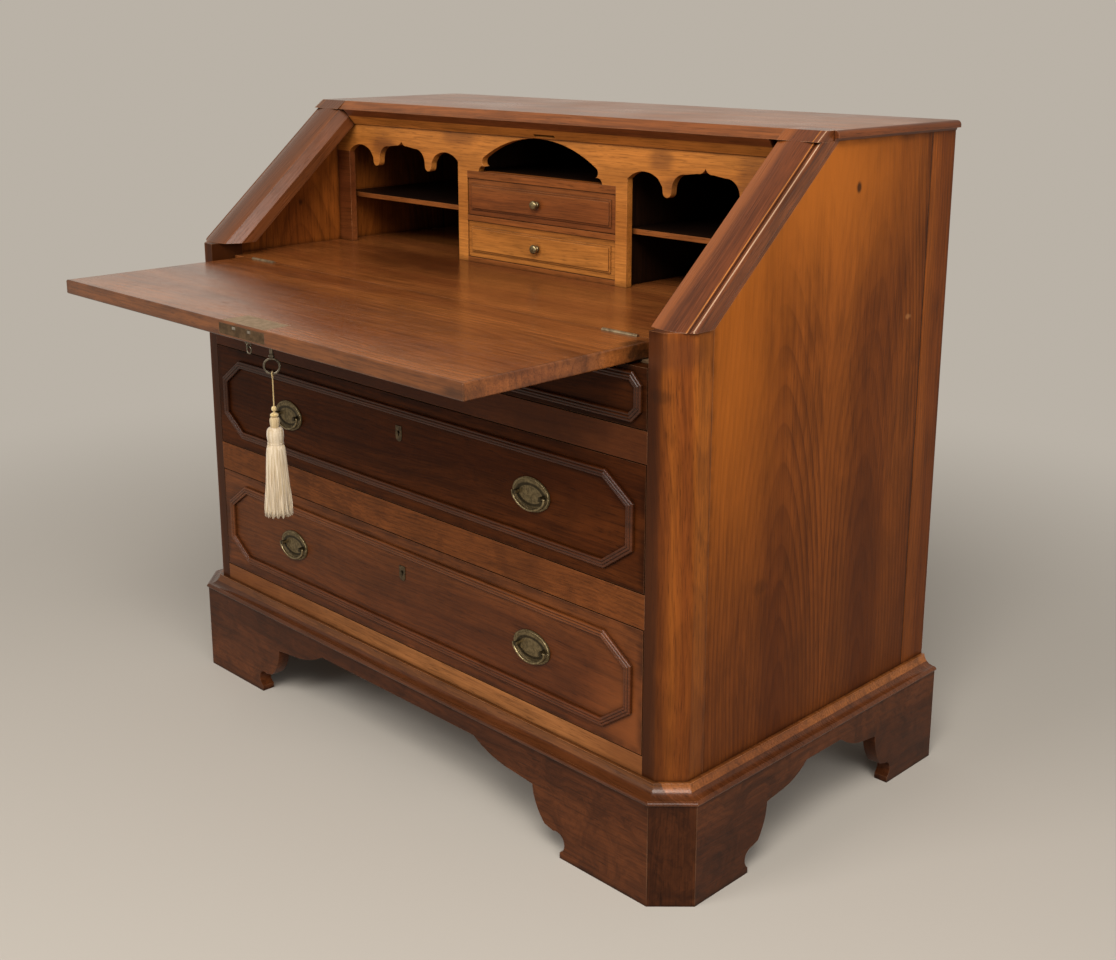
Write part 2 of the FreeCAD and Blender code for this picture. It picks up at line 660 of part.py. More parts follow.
def tray(name, x_out, y, z, sides):
    """Drawer box behind a front: two sides grooved for the floor, and a back that stands on it."""
    side, back, floor, lift, into = sides
    y_end = y[1]
    inner = x_out - side
    panel = board(name + "_floor", (-inner - into, inner + into), y, (z[0] + lift, z[0] + lift + floor))
    wall = cut(name + "_side", board(name + "_side_board", (inner, x_out), y, z), panel)
    rear = board(name + "_back", (-inner, inner), (y_end - back, y_end), (z[0] + lift + floor, z[1]))
    return group(name, panel, wall, mirrored(name + "_side_left", wall), rear)


small_y = gallery_front - s.border_depth
for name, low, high in (("small_upper", high_base, high_top), ("small_lower", low_base, low_top)):
    wide = centre - s.small_gap
    bottom, top = low + s.small_gap, high - s.small_gap
    steps = []
    for i, inset in enumerate((0, s.border_width, s.border_width + s.border_step)):
        face = small_y + s.border_depth * (2 - i)
        steps.append(board("%s_step_%d" % (name, i), (-wide + inset, wide - inset),
                           (face, small_y + s.small_front), (bottom + inset, top - inset)))
    middle = (low + high) / 2
    hole = rod(name + "_hole", 0, small_y, middle, KNOB_SPIGOT, spigot, "Y")
    keep(cut(name + "_front", fused(name + "_panel", *steps), hole))
    keep(turned(name + "_knob", knob_outline, 0, small_y, middle, face_out))
    keep(tray(name + "_box", wide, (small_y + s.small_front, back_face - s.small_clearance),
              (low + s.run_gap, top - s.small_side),
              (s.small_side, s.small_side, s.small_floor, s.small_side / 2, s.small_side / 2)))

# Fall: lock let in from the upper face, key in the lock, tassel on the key

fall_front = -fall_reach
lock_x = s.lock_offset
key_x = lock_x + s.key_offset
key_y = fall_front + s.key_backset
fall_plank = board("fall_plank", (-fall_half, fall_half), (fall_front, fall_back), (fall_under, bed))


def is_free_arris(edge):
    """The fall's long edges, apart from those at the hinges."""
    return edge.CenterOfMass.y < float(front + fall_back) - 1 and not along(edge, Vector(0, 0, 1))


fall_blank = softened("fall_blank", fall_plank, s.fall_round, is_free_arris)
plate_y = fall_front + s.fall_round
case_y = fall_front + s.lock_plate
case_z = bed - s.lock_plate - s.lock_case_thick
mid_z = fall_under + s.fall_thick / 2


def lock_block(name, wide, y, z):
    return board(name, (lock_x - wide / 2, lock_x + wide / 2), y, z)


def lock_blank(name):
    deep = plate_y + s.lock_depth
    return [lock_block(name + "_cap", s.lock_width, (plate_y, deep), (bed - s.lock_plate, bed)),
            lock_block(name + "_case", s.lock_case_width, (case_y, deep), (case_z, bed - s.lock_plate)),
            lock_block(name + "_selvedge", s.selvedge_width, (fall_front, case_y),
                       (mid_z - s.selvedge_height / 2, mid_z + s.selvedge_height / 2))]


def keyhole(name, low, high, spare):
    """Round hole with a slot for the key's bit, which points to the front."""
    slot = s.key_bit + spare
    return [rod(name + "_round", key_x, key_y, low, s.key_radius + spare, high - low),
            board(name + "_slot", (key_x - s.bit_room / 2, key_x + s.bit_room / 2), (key_y - slot, key_y),
                  (low, high))]


bolt_z = (bed - s.lock_plate - s.bolt_thick * 1.8, bed - s.lock_plate - s.bolt_thick * 0.8)
bolt_back = fall_front + s.bolt_length
prong = s.bolt_length - s.prong_width
bolt_body = lock_block("bolt_body", s.bolt_width, (fall_front + prong, bolt_back), bolt_z)
prongs = []
rooms = [lock_block("bolt_room", s.bolt_width + s.bolt_gap * 2, (case_y, bolt_back + s.bolt_gap),
                    (bolt_z[0] - s.bolt_gap, bolt_z[1] + s.bolt_gap))]
prong_at = (s.bolt_width - s.prong_width) / 2
for name, at in (("left", lock_x - prong_at), ("right", lock_x + prong_at)):
    reach = (at - s.prong_width / 2, at + s.prong_width / 2)
    prongs.append(board("prong_" + name, reach, (fall_front, fall_front + prong), bolt_z))
    rooms.append(board("prong_room_" + name, (reach[0] - s.bolt_gap, reach[1] + s.bolt_gap),
                       (fall_front, case_y), (bolt_z[0] - s.bolt_gap, bolt_z[1] + s.bolt_gap)))
keep(fused("lock_bolt", bolt_body, *prongs))
bit_z = (case_z + s.lock_plate, bed - s.lock_plate * 2)
rooms.append(rod("bit_turning_room", key_x, key_y, bit_z[0] - s.bolt_gap, s.key_bit + s.bolt_gap * 2,
                 bit_z[1] - bit_z[0] + s.bolt_gap * 2))
rooms += keyhole("lock_keyhole", case_z - s.lock_plate, bit_z[1], s.key_hole_radius - s.key_radius)
keep(cut("fall_lock", fused("lock_blank", *lock_blank("lock")), *rooms))
leaf_room = board("leaf_room", (hinge_low, hinge_high), fall_leaf_y, recess_z)
slot = hinge_slot("fall_slot")
keep(cut("fall_board", fall_blank, leaf_room, mirrored("leaf_room_left", leaf_room), slot,
         mirrored("fall_slot_left", slot), *lock_blank("lock_mortise"),
         *keyhole("board_keyhole", fall_under, bed - s.lock_plate, s.key_hole_radius - s.key_radius)))
keep(cut("fall_escutcheon", rod("fall_escutcheon_disc", key_x, key_y, fall_under - s.escutcheon_thick,
                                s.escutcheon_height / 2, s.escutcheon_thick),
         *keyhole("escutcheon_keyhole", fall_under - s.escutcheon_thick, fall_under,
                  s.key_hole_radius - s.key_radius)))

bow_z = fall_under - s.key_drop
bow_turn = 45
blade = s.bit_room / 3
bit = board("key_blade", (key_x - blade, key_x + blade), (key_y - s.key_bit, key_y), bit_z)
shank_low = bow_z + s.bow_radius
keep(fused("key", rod("key_shank", key_x, key_y, shank_low, s.key_radius, bit_z[1] - shank_low), bit,
           rod("key_collar", key_x, key_y, shank_low + s.key_radius, s.key_radius * 1.6, s.key_radius),
           ring("key_bow", key_x, key_y, bow_z, s.bow_radius, s.bow_wire, "Y", bow_turn)))
bow_low = bow_z - s.bow_radius
tassel_top = bow_low - s.cord_length
loop_z = bow_low + s.bow_wire + s.cord_radius + s.hang_gap - s.cord_loop
loop_low = loop_z - s.cord_loop
keep(fused("key_cord", ring("cord_loop", key_x, key_y, loop_z, s.cord_loop, s.cord_radius, "X", bow_turn),
           rod("cord_drop", key_x, key_y, tassel_top, s.cord_radius, loop_low + s.hang_gap - tassel_top)))
bead_r, collar_r, head_r = float(s.bead_radius), float(s.collar_radius), float(s.head_radius)
collar_h = -2 * bead_r
neck_h = collar_h - 2 * collar_r
head_h = neck_h - 1.1 * collar_r
head_low = -float(s.head_length)
head_outline = [(0, 0), ((bead_r, -bead_r), (collar_r * 0.3, collar_h)),
                ((collar_r, (collar_h + neck_h) / 2), (collar_r * 0.9, neck_h)), (collar_r * 0.9, head_h),
                ((head_r, (head_h + head_low) / 2), (head_r * 0.95, head_low)), (0, head_low)]
keep(turned("tassel_head", head_outline, key_x, key_y, tassel_top))
skirt_outline = [(0, 0), (s.skirt_top_radius, 0), ((s.skirt_radius * 0.85, -s.skirt_length / 2),
                 (s.skirt_radius, -s.skirt_length)), (0, -s.skirt_length)]
keep(turned("tassel_skirt", skirt_outline, key_x, key_y, tassel_top - s.head_length))

ring_x = lock_x + s.ring_offset
ring_y = fall_front + s.ring_inset
eye_z = fall_under - s.ring_radius
eye_top = eye_z + s.eye_radius
keep(fused("ring_eye", ring("eye_loop", ring_x, ring_y, eye_z, s.eye_radius, s.ring_wire, "X"),
           rod("eye_plate", ring_x, ring_y, eye_top, s.ring_radius, fall_under - eye_top)))
ring_top = eye_z - s.eye_radius + s.ring_wire * 2 + s.hang_gap
keep(ring("fall_ring", ring_x, ring_y, ring_top - s.ring_radius, s.ring_radius, s.ring_wire, "Y"))

strike_u = float(fall_length + s.strike_gap)
strike_low = case_top - s.strike_height


def strike_y(z):
    """Front of the strike rail: a plane just beyond the closed fall's upper edge."""
    return float(s.fall_setback) + (strike_u - float(as_size(z) - bed) * sin_a) / cos_a


strike_outline = [(gallery_front, strike_low), (gallery_front, case_top), (strike_y(case_top), case_top),
                  (strike_y(strike_low), strike_low)]
strike_bar = prism("strike_bar", "YZ", strike_outline, -fall_half, fall_half)
strike_slot = doc.addObject("Part::Box", "strike_slot")
bind(strike_slot, "Length", s.bolt_width + s.bolt_gap * 4)
bind(strike_slot, "Width", s.bolt_length)
bind(strike_slot, "Height", s.bolt_thick + s.bolt_gap * 4)
slant_turn = Rotation(Vector(1, 0, 0), float(s.fall_angle))
slot_corner = Vector(float(lock_x - s.bolt_width / 2 - s.bolt_gap * 2), float(fall_length),
                     float(bed - bolt_z[1] - s.bolt_gap * 2))
strike_slot.Placement = Placement(slant_bar.Placement.Base + slant_turn.multVec(slot_corner), slant_turn)
keep(cut("strike_rail", strike_bar, strike_slot))

# Long drawers

reed, reed_h = float(s.reed_width) / 2, float(s.reed_height)
valley = reed_h * 0.7
reed_profile = [(reed, 0), (reed, reed_h * 0.45), ((reed * 0.67, reed_h * 0.88), (reed * 0.33, valley)),
                ((0, reed_h), (-reed * 0.33, valley)),
                ((-reed * 0.67, reed_h * 0.88), (-reed, reed_h * 0.45)), (-reed, 0)]
tray_x = post_in - s.guide_gap
front_x = post_in - s.drawer_gap


def oval(x, z, wide, high, corner):
    """Three-centred oval about a point, from half its width, half its height and its end radius."""
    wide, high, corner = float(wide), float(high), float(corner)
    side = wide - corner
    drop = (side ** 2 - (high - corner) ** 2) / (2 * (high - corner))
    way = Vector(side, drop, 0).normalize()
    jx, jz = side + corner * way.x, corner * way.y
    x, z = float(x), float(z)
    return [(x + jx, z - jz), ((x + wide, z), (x + jx, z + jz)), ((x, z + high), (x - jx, z + jz)),
            ((x - wide, z), (x - jx, z - jz)), ((x, z - high), (x + jx, z - jz))]


def octagon(wide, low, high, margin, cut_long, cut_high):
    """Path of a drawer's reeded moulding: a rectangle with its corners cut off."""
    x, z0, z1 = float(wide - margin), float(low + margin), float(high - margin)
    a, b = float(cut_long), float(cut_high)
    right = [(x - a, z0), (x, z0 + b), (x, z1 - b), (x - a, z1)]
    return right + [(-x, z) for x, z in reversed(right)]


def long_drawer(name, low, high, tray_top, lock_z, path):
    wide, tall = s.escutcheon_width / 2, s.escutcheon_height / 2
    plate = [(wide, lock_z - tall / 2), (wide, lock_z + tall), (-wide, lock_z + tall),
             (-wide, lock_z - tall / 2), ((0, lock_z - tall), (wide, lock_z - tall / 2))]
    sleeve = wide - s.escutcheon_rim
    face = -s.escutcheon_thick
    lock = fused(name + "_lock_blank", prism(name + "_plate", "XZ", plate, face, 0),
                 rod(name + "_sleeve", 0, face, lock_z, sleeve, s.front_thick - face, "Y"),
                 board(name + "_lock_case", (-s.drawer_lock_width / 2, s.drawer_lock_width / 2),
                       (s.front_thick, s.front_thick + s.drawer_lock_thick),
                       (lock_z - s.drawer_lock_height / 2, lock_z + s.drawer_lock_height / 2)))
    pin_z = lock_z + s.key_radius
    pin_hole = rod(name + "_pin_hole", 0, face, pin_z, s.key_radius, s.front_thick, "Y")
    slot = board(name + "_pin_slot", (-s.bit_room / 2, s.bit_room / 2), (face, s.front_thick + face),
                 (lock_z - s.key_bit / 2, pin_z))
    keep(cut(name + "_lock", lock, pin_hole, slot))
    bore = rod(name + "_bore", 0, 0, lock_z, sleeve, s.front_thick, "Y")
    panel = board(name + "_face", (-front_x, front_x), (0, s.front_thick), (low + s.drawer_gap, high))
    keep(cut(name + "_front", panel, bore))
    keep(moulding(name + "_moulding", mitred_strips(path, reed_profile, True),
                  Placement(Vector(0, float(front), 0), face_out)))
    keep(tray(name + "_box", tray_x, (s.front_thick, back_face - s.drawer_clearance),
              (low + s.run_gap, tray_top),
              (s.drawer_side, s.drawer_back, s.drawer_floor, s.floor_lift, s.floor_groove)))


def pulls(name, middle):
    """Two oval brass plates with posts, and a swinging bail in each pair of posts."""
    at = s.pull_spacing / 2
    plates = [prism(name + "_plate_oval", "XZ", oval(at, middle, s.pull_width / 2, s.pull_height / 2,
                                                     s.pull_height * 0.36), -s.pull_thick, 0)]
    inner = oval(at, middle, s.pull_width / 2 - s.pull_rim, s.pull_height / 2 - s.pull_rim,
                 s.pull_height * 0.3)
    plates.append(prism(name + "_plate_field", "XZ", inner, -s.pull_thick * 1.5, -s.pull_thick))
    ends = [at - s.pull_post_spacing / 2, at + s.pull_post_spacing / 2]
    for i, x in enumerate(ends):
        plates.append(rod("%s_post_%d" % (name, i), x, -s.pull_post_length, middle, s.pull_post_radius,
                          s.pull_post_length, "Y"))
    pin = s.bail_wire
    beyond = s.pull_post_radius * 2
    bore = rod(name + "_post_bore", ends[0] - beyond, -s.bail_stand, middle, pin + s.bail_room,
               s.pull_post_spacing + beyond * 2, "X")
    plate = cut(name + "_plate_right", fused(name + "_plate_blank", *plates), bore)
    keep(pair(name + "_pull_plates", plate))
    wide, drop = s.bail_half_width, s.bail_drop
    lower = oval(at, middle, wide, drop, s.bail_corner)
    spine = doc.addObject("Sketcher::SketchObject", name + "_bail_line")
    spine.Placement = Placement(Vector(0, float(front - s.bail_stand), 0), face_out)
    left, right = (float(at - wide), float(middle)), (float(at + wide), float(middle))
    centre_x = float(at + wide - s.bail_corner)
    tilt = math.atan2(lower[0][1] - float(middle), lower[0][0] - centre_x) / 2
    bend = (float(s.bail_corner) * math.cos(tilt), float(s.bail_corner) * math.sin(tilt))
    steps = [right, ((centre_x + bend[0], float(middle) + bend[1]), lower[0]),
             ((float(at), float(middle - drop)), (2 * float(at) - lower[0][0], lower[0][1])),
             ((2 * float(at) - centre_x - bend[0], float(middle) + bend[1]), left)]
    for edge in edges_of(steps)[:-1]:
        spine.addGeometry(edge, False)
    wire = doc.addObject("Part::Circle", name + "_bail_section")
    bind(wire, "Radius", pin)
    wire.Placement = Placement(Vector(right[0], float(front - s.bail_stand), right[1]), Rotation())
    sweep = doc.addObject("Part::Sweep", name + "_bail_sweep")
    sweep.Sections = [wire]
    doc.recompute()
    sweep.Spine = (spine, ["Edge%d" % (i + 1) for i in range(len(spine.Shape.Edges))])
    sweep.Solid = True
    parts = [sweep]
    for i, (x, low) in enumerate(((left[0], left[0]), (right[0], ends[1] - s.pull_post_radius))):
        pin_length = ends[0] + s.pull_post_radius - left[0]
        parts.append(rod("%s_bail_pin_%d" % (name, i), low, -s.bail_stand, middle, pin, pin_length, "X"))
        knob = doc.addObject("Part::Sphere", "%s_bail_elbow_%d" % (name, i))
        bind(knob, "Radius", pin)
        knob.Placement = Placement(Vector(x, float(front - s.bail_stand), float(middle)), Rotation())
        parts.append(knob)
    bail = keep(fused(name + "_bail_right", *parts))
    keep(mirrored(name + "_bail_left", bail))


one_top = fall_under - s.drawer_gap * 2
tray_one = fall_under - s.fall_rail_height - s.drawer_gap * 2
long_drawer("drawer_1", one_low, one_top, tray_one, tray_one - s.drawer_lock_height / 2,
            octagon(front_x, one_low + s.drawer_gap, one_top, s.reed_margin_small, s.reed_cut_small,
                    s.reed_cut_small))
for name, low, high in (("drawer_2", two_low, two_high), ("drawer_3", three_low, three_high)):
    long_drawer(name, low, high - s.drawer_gap, high - s.side_drop, high - s.keyhole_drop,
                octagon(front_x, low + s.drawer_gap, high - s.drawer_gap, s.reed_margin, s.reed_cut_long,
                        s.reed_cut_high))
    pulls(name, (low + high) / 2)

# Checks and files

doc.recompute()
for obj in doc.Objects:
    if {"Invalid", "Error"} & set(obj.State):
        raise RuntimeError("%s did not compute: %s" % (obj.Name, obj.State))
os.makedirs("parts", exist_ok=True)
for node in nodes:
    if node.Shape.isNull() or not node.Shape.isValid():
        raise RuntimeError("%s has no valid shape" % node.Name)
    node.Label = node.Name
    node.Shape.exportStep("parts/%s.step" % node.Name)
print("wrote %d sub-parts" % len(nodes))
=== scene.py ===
"""Looks of a slant-front writing desk: camera and tassel first, then materials, small brass and light.

Metres, in the frame of the CAD model: X to the right, Y to the back, Z up.
"""
import math

import bpy
import numpy as np
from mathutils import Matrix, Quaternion, Vector


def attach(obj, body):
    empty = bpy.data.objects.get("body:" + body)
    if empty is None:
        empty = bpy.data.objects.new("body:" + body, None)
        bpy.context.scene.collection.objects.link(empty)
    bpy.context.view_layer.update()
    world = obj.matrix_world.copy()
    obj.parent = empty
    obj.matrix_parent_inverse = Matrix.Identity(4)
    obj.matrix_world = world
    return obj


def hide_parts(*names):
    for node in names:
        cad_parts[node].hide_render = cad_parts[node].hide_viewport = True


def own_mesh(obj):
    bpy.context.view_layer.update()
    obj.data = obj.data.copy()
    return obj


SEED = 11

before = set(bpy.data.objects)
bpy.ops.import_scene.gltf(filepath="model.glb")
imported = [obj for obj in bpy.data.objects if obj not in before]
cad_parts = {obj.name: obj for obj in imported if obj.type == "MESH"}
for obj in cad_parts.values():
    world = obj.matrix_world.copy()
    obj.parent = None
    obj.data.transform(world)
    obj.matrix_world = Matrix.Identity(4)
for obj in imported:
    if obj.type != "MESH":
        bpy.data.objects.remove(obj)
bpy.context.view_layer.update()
scene = bpy.context.scene
scene.view_settings.view_transform = "Standard"
rng = np.random.default_rng(SEED)

# Camera, fitted to the photograph

AZIMUTH, ELEVATION, ROLL = math.radians(45.1), math.radians(13.92), math.radians(0.08)
CAMERA_AT = (1.6467, -1.4604, 1.1351)
SENSOR_MM, LENS_MM = 36, 46.66
SHIFT_X, SHIFT_Y = -0.0025, -0.0884
lens = bpy.data.cameras.new("camera")
lens.sensor_width = SENSOR_MM
lens.lens = LENS_MM
lens.shift_x = SHIFT_X
lens.shift_y = SHIFT_Y
camera = bpy.data.objects.new("camera", lens)
scene.collection.objects.link(camera)
back = Vector((math.sin(AZIMUTH) * math.cos(ELEVATION),
               -math.cos(AZIMUTH) * math.cos(ELEVATION),
               math.sin(ELEVATION)))
camera.rotation_mode = "QUATERNION"
camera.rotation_quaternion = (-back).to_track_quat("-Z", "Y") @ Quaternion((0, 0, 1), ROLL)
camera.location = CAMERA_AT
scene.camera = camera


# Mesh helpers

def mesh_piece(name, shape, body, material=None):
    """A new smooth piece from a shape in the CAD frame, which rides on a body."""
    mesh = bpy.data.meshes.new(name)
    mesh.from_pydata([tuple(p) for p in shape.points], [], shape.faces)
    mesh.polygons.foreach_set("use_smooth", [True] * len(mesh.polygons))
    mesh.update()
    piece = bpy.data.objects.new(name, mesh)
    scene.collection.objects.link(piece)
    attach(piece, body)
    if material:
        mesh.materials.append(material)
    return piece


class Shape:
    """Points and faces that several parts of one piece add to."""

    def __init__(self):
        self.points, self.faces = [], []

    def add(self, points, faces):
        base = len(self.points)
        self.points.extend(points)
        self.faces.extend([tuple(base + i for i in face) for face in faces])

    def rings(self, rings):
        """A closed skin over rings of equally many points."""
        count = len(rings[0])
        points = [p for ring in rings for p in ring]
        faces = []
        for i in range(len(rings) - 1):
            here, there = i * count, (i + 1) * count
            for j in range(count):
                k = (j + 1) % count
                faces.append((here + j, here + k, there + k, there + j))
        faces.append(tuple(range(count))[::-1])
        faces.append(tuple((len(rings) - 1) * count + j for j in range(count)))
        self.add(points, faces)

    def tube(self, line, radius, sides=8):
        """A round tube along a line of points. The radius is one number or one for each point."""
        line = [Vector(p) for p in line]
        radii = [radius] * len(line) if isinstance(radius, float) else radius
        turns = [2 * math.pi * j / sides for j in range(sides)]
        side = None
        rings = []
        for i, at in enumerate(line):
            way = (line[min(i + 1, len(line) - 1)] - line[max(i - 1, 0)]).normalized()
            if side is None:
                side = way.orthogonal().normalized()
            side = (side - way * side.dot(way)).normalized()
            other = way.cross(side)
            rings.append([at + (side * math.cos(t) + other * math.sin(t)) * radii[i] for t in turns])
        self.rings(rings)


def oval(half_width, half_height, count):
    """Steps aside and up from the middle, for points all round an oval."""
    turns = np.linspace(0, 2 * math.pi, count)
    return [(half_width * math.cos(t), half_height * math.sin(t)) for t in turns]


# Tassel: a cord looped on the key's bow, turned beads, a bound head and a fringe of threads

KEY = Vector((0.044, -0.4075, 0.0))
BOW_LOW, CORD_END = 0.6795, 0.6345
LOOP_SIDE = Vector((-math.sqrt(0.5), math.sqrt(0.5), 0))
LOOP_AXIS = Vector((math.sqrt(0.5), math.sqrt(0.5), 0))
CORD_RADIUS = 0.0009
CORD_STEPS = 24
# Steps to the loop's side and heights, as in the CAD model
cord_route = [(-0.0006, 0.6730), (-0.0030, 0.6762), (-0.0036, 0.6822), (0.0036, 0.6822), (0.0030, 0.6762),
              (0.0007, 0.6730), (0.0, 0.6690), (0.0, 0.6600), (0.0003, 0.6450), (0.0, CORD_END)]
route = bpy.data.curves.new("cord_route", "CURVE")
route.dimensions = "3D"
route.resolution_u = CORD_STEPS
spline = route.splines.new("NURBS")
spline.points.add(len(cord_route) - 1)
for point, (aside, z) in zip(spline.points, cord_route):
    at = KEY + LOOP_SIDE * aside
    point.co = (at.x, at.y, z, 1)
spline.order_u = 3
spline.use_endpoint_u = True
route_object = bpy.data.objects.new("cord_route", route)
route_mesh = bpy.data.meshes.new_from_object(route_object)
cord_line = [v.co.copy() for v in route_mesh.vertices]
bpy.data.objects.remove(route_object)


def hangs(piece, *nodes):
    """Hides the CAD nodes, if any, that a tassel piece stands in for, and gives the piece a mesh of its own.
    """
    if nodes:
        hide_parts(*nodes)
    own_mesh(piece)


STRANDS, TWIST = 3, 0.0052
STRAND_OFF, STRAND_RADIUS, STRAND_SIDES = 0.5, 0.52, 7  # the first two as shares of the cord's radius
cord_shape = Shape()
run = 0.0
turns = []
for i, at in enumerate(cord_line):
    run += (at - cord_line[max(i - 1, 0)]).length
    turns.append(2 * math.pi * run / TWIST)
for strand in range(STRANDS):
    line = []
    for i, at in enumerate(cord_line):
        way = (cord_line[min(i + 1, len(cord_line) - 1)] - cord_line[max(i - 1, 0)]).normalized()
        side = way.cross(LOOP_AXIS).normalized()
        angle = turns[i] + 2 * math.pi * strand / STRANDS
        out = side * math.cos(angle) + way.cross(side) * math.sin(angle)
        line.append(at + out * CORD_RADIUS * STRAND_OFF)
    cord_shape.tube(line, CORD_RADIUS * STRAND_RADIUS, STRAND_SIDES)
key_cord = mesh_piece("tassel_cord", cord_shape, "tassel")

TURN_SIDES, TURN_STEP, LEAST_RADIUS = 96, 0.0004, 0.0002
BARREL_STEPS, BARREL_POWER = 12, 0.6


def turned_shape(profile, ridges=0, depth=0.0, wound=0.0, pitch=0.0011):
    """A thread-covered turned form. The profile holds radius and height; ridges run down it, and
    wound ones go round it."""
    fine = []
    for (r0, z0), (r1, z1) in zip(profile, profile[1:]):
        steps = max(2, int(math.hypot(r1 - r0, z1 - z0) / TURN_STEP))
        fine += [(r0 + (r1 - r0) * i / steps, z0 + (z1 - z0) * i / steps) for i in range(steps)]
    fine.append(profile[-1])
    rings = []
    for radius, z in fine:
        ring = []
        for j in range(TURN_SIDES):
            angle = 2 * math.pi * j / TURN_SIDES
            thread = abs(math.sin(ridges * angle / 2)) * depth
            winding = abs(math.sin(math.pi * z / pitch + angle / 2)) * wound
            reach = max(radius + thread + winding - depth - wound, LEAST_RADIUS)
            ring.append((KEY.x + reach * math.cos(angle), KEY.y + reach * math.sin(angle), z))
        rings.append(ring)
    return rings


def rounded(low, high, radius, ends):
    """Half outline of a barrel between two heights, from the top down."""
    outline = []
    for i in range(BARREL_STEPS + 1):
        t = i / BARREL_STEPS
        swell = math.sin(math.pi * t) ** BARREL_POWER
        outline.append((ends + (radius - ends) * swell, high + (low - high) * t))
    return outline


SMALL_BEAD = (0.6275, 0.6348, 0.0037, 0.0012)
LARGE_BEAD = (0.6192, 0.6256, 0.0058, 0.0018)
NECK = [(0.0013, 0.6280), (0.0013, 0.6250)]
COLLAR = [(0.0030, 0.6200), (0.0052, 0.6192), (0.0065, 0.6175), (0.0069, 0.6150), (0.0067, 0.6115),
          (0.0062, 0.6080), (0.0057, 0.6050), (0.0052, 0.6035)]
BULB = [(0.0050, 0.6056), (0.0086, 0.6048), (0.0104, 0.6030), (0.0114, 0.6000), (0.0118, 0.5955),
        (0.0115, 0.5905), (0.0107, 0.5860), (0.0102, 0.5830), (0.0108, 0.5800)]
BULB_THREADS, BULB_DEPTH = 46, 0.0008
TIE_HEIGHTS, TIE_REACH, TIE_RADIUS = (0.5842, 0.5833, 0.5824), 0.0105, 0.00055
TIE_STEPS, TIE_SIDES = 49, 6
beads = Shape()
beads.rings(turned_shape(rounded(*SMALL_BEAD), wound=0.00025, pitch=0.0012))
beads.rings(turned_shape(NECK, wound=0.0002, pitch=0.001))
beads.rings(turned_shape(rounded(*LARGE_BEAD), wound=0.0003, pitch=0.0013))
gold_beads = mesh_piece("tassel_beads", beads, "tassel")
barrel = Shape()
barrel.rings(turned_shape(COLLAR, wound=0.00035, pitch=0.00115))
collar = mesh_piece("tassel_collar", barrel, "tassel")
bulb = Shape()
bulb.rings(turned_shape(BULB, BULB_THREADS, BULB_DEPTH))
head = mesh_piece("tassel_bulb", bulb, "tassel")
band = Shape()
for z in TIE_HEIGHTS:
    around = [(KEY.x + x, KEY.y + y, z) for x, y in oval(TIE_REACH, TIE_REACH, TIE_STEPS)]
    band.tube(around, TIE_RADIUS, TIE_SIDES)
tie = mesh_piece("tassel_tie", band, "tassel")

FRINGE_TOP, FRINGE_LOW, FRINGE_REACH = 0.5826, 0.4775, 0.0188
LAYERS = ((0.0122, 92), (0.0105, 76), (0.0086, 58), (0.0062, 40), (0.0034, 20))  # radius and threads
UNEVEN = 0.3  # how far a thread may stand from its place, as a share of the gap
CLUMPS, CLUMP_TURN = 15, 1.1
FLARE, FLARE_BY_CLUMP, FLARE_LOOSE, FLARE_POWER = 1.50, 0.07, 0.06, 1.35
END_LIFT, END_BY_CLUMP, END_LOOSE = 0.0025, 0.0045, 0.0022
SWAY_BY_CLUMP, SWAY_LOOSE = 0.022, 0.012
SHOULDER, SHOULDER_RISE, SHOULDER_RATE = 0.80, 0.20, 9
WAVER_TURN, WAVER_REACH = (0.012, 7), (0.0002, 11)
THREAD_STEPS, THREAD_SIDES, THREAD_RADIUS, THREAD_SWELL = 14, 6, 0.00062, (0.00004, 40)


def wave(form, t, phase):
    """A small sine wave along a thread. Its form is size and rate."""
    size, rate = form
    return size * math.sin(rate * t + phase)


fringe = Shape()
for radius, count in LAYERS:
    for i in range(count):
        angle = 2 * math.pi * (i + UNEVEN * rng.random()) / count
        clump = math.cos(CLUMPS * angle)
        flare = FLARE + FLARE_BY_CLUMP * clump + FLARE_LOOSE * rng.normal()
        low = FRINGE_LOW + END_LIFT + END_BY_CLUMP * (0.5 + 0.5 * clump) + END_LOOSE * rng.random()
        sway = SWAY_BY_CLUMP * math.sin(CLUMPS * angle + CLUMP_TURN) + SWAY_LOOSE * rng.normal()
        phase = 2 * math.pi * rng.random()
        line, widths = [], []
        for step in range(THREAD_STEPS + 1):
            t = step / THREAD_STEPS
            shoulder = SHOULDER + SHOULDER_RISE * min(1, t * SHOULDER_RATE) ** 0.5
            turn = angle + sway * t + wave(WAVER_TURN, t, phase)
            reach = radius * (shoulder + (flare - 1) * t ** FLARE_POWER)
            reach = min(reach + wave(WAVER_REACH, t, phase), FRINGE_REACH)
            line.append((KEY.x + reach * math.cos(turn), KEY.y + reach * math.sin(turn),
                         FRINGE_TOP + (low - FRINGE_TOP) * t))
            widths.append(THREAD_RADIUS + wave(THREAD_SWELL, t, phase))
        fringe.tube(line, widths, THREAD_SIDES)
skirt = mesh_piece("tassel_fringe", fringe, "tassel")

hangs(key_cord, "key_cord")
hangs(gold_beads)
hangs(collar)
hangs(head, "tassel_head")
hangs(tie)
hangs(skirt, "tassel_skirt")


# Materials

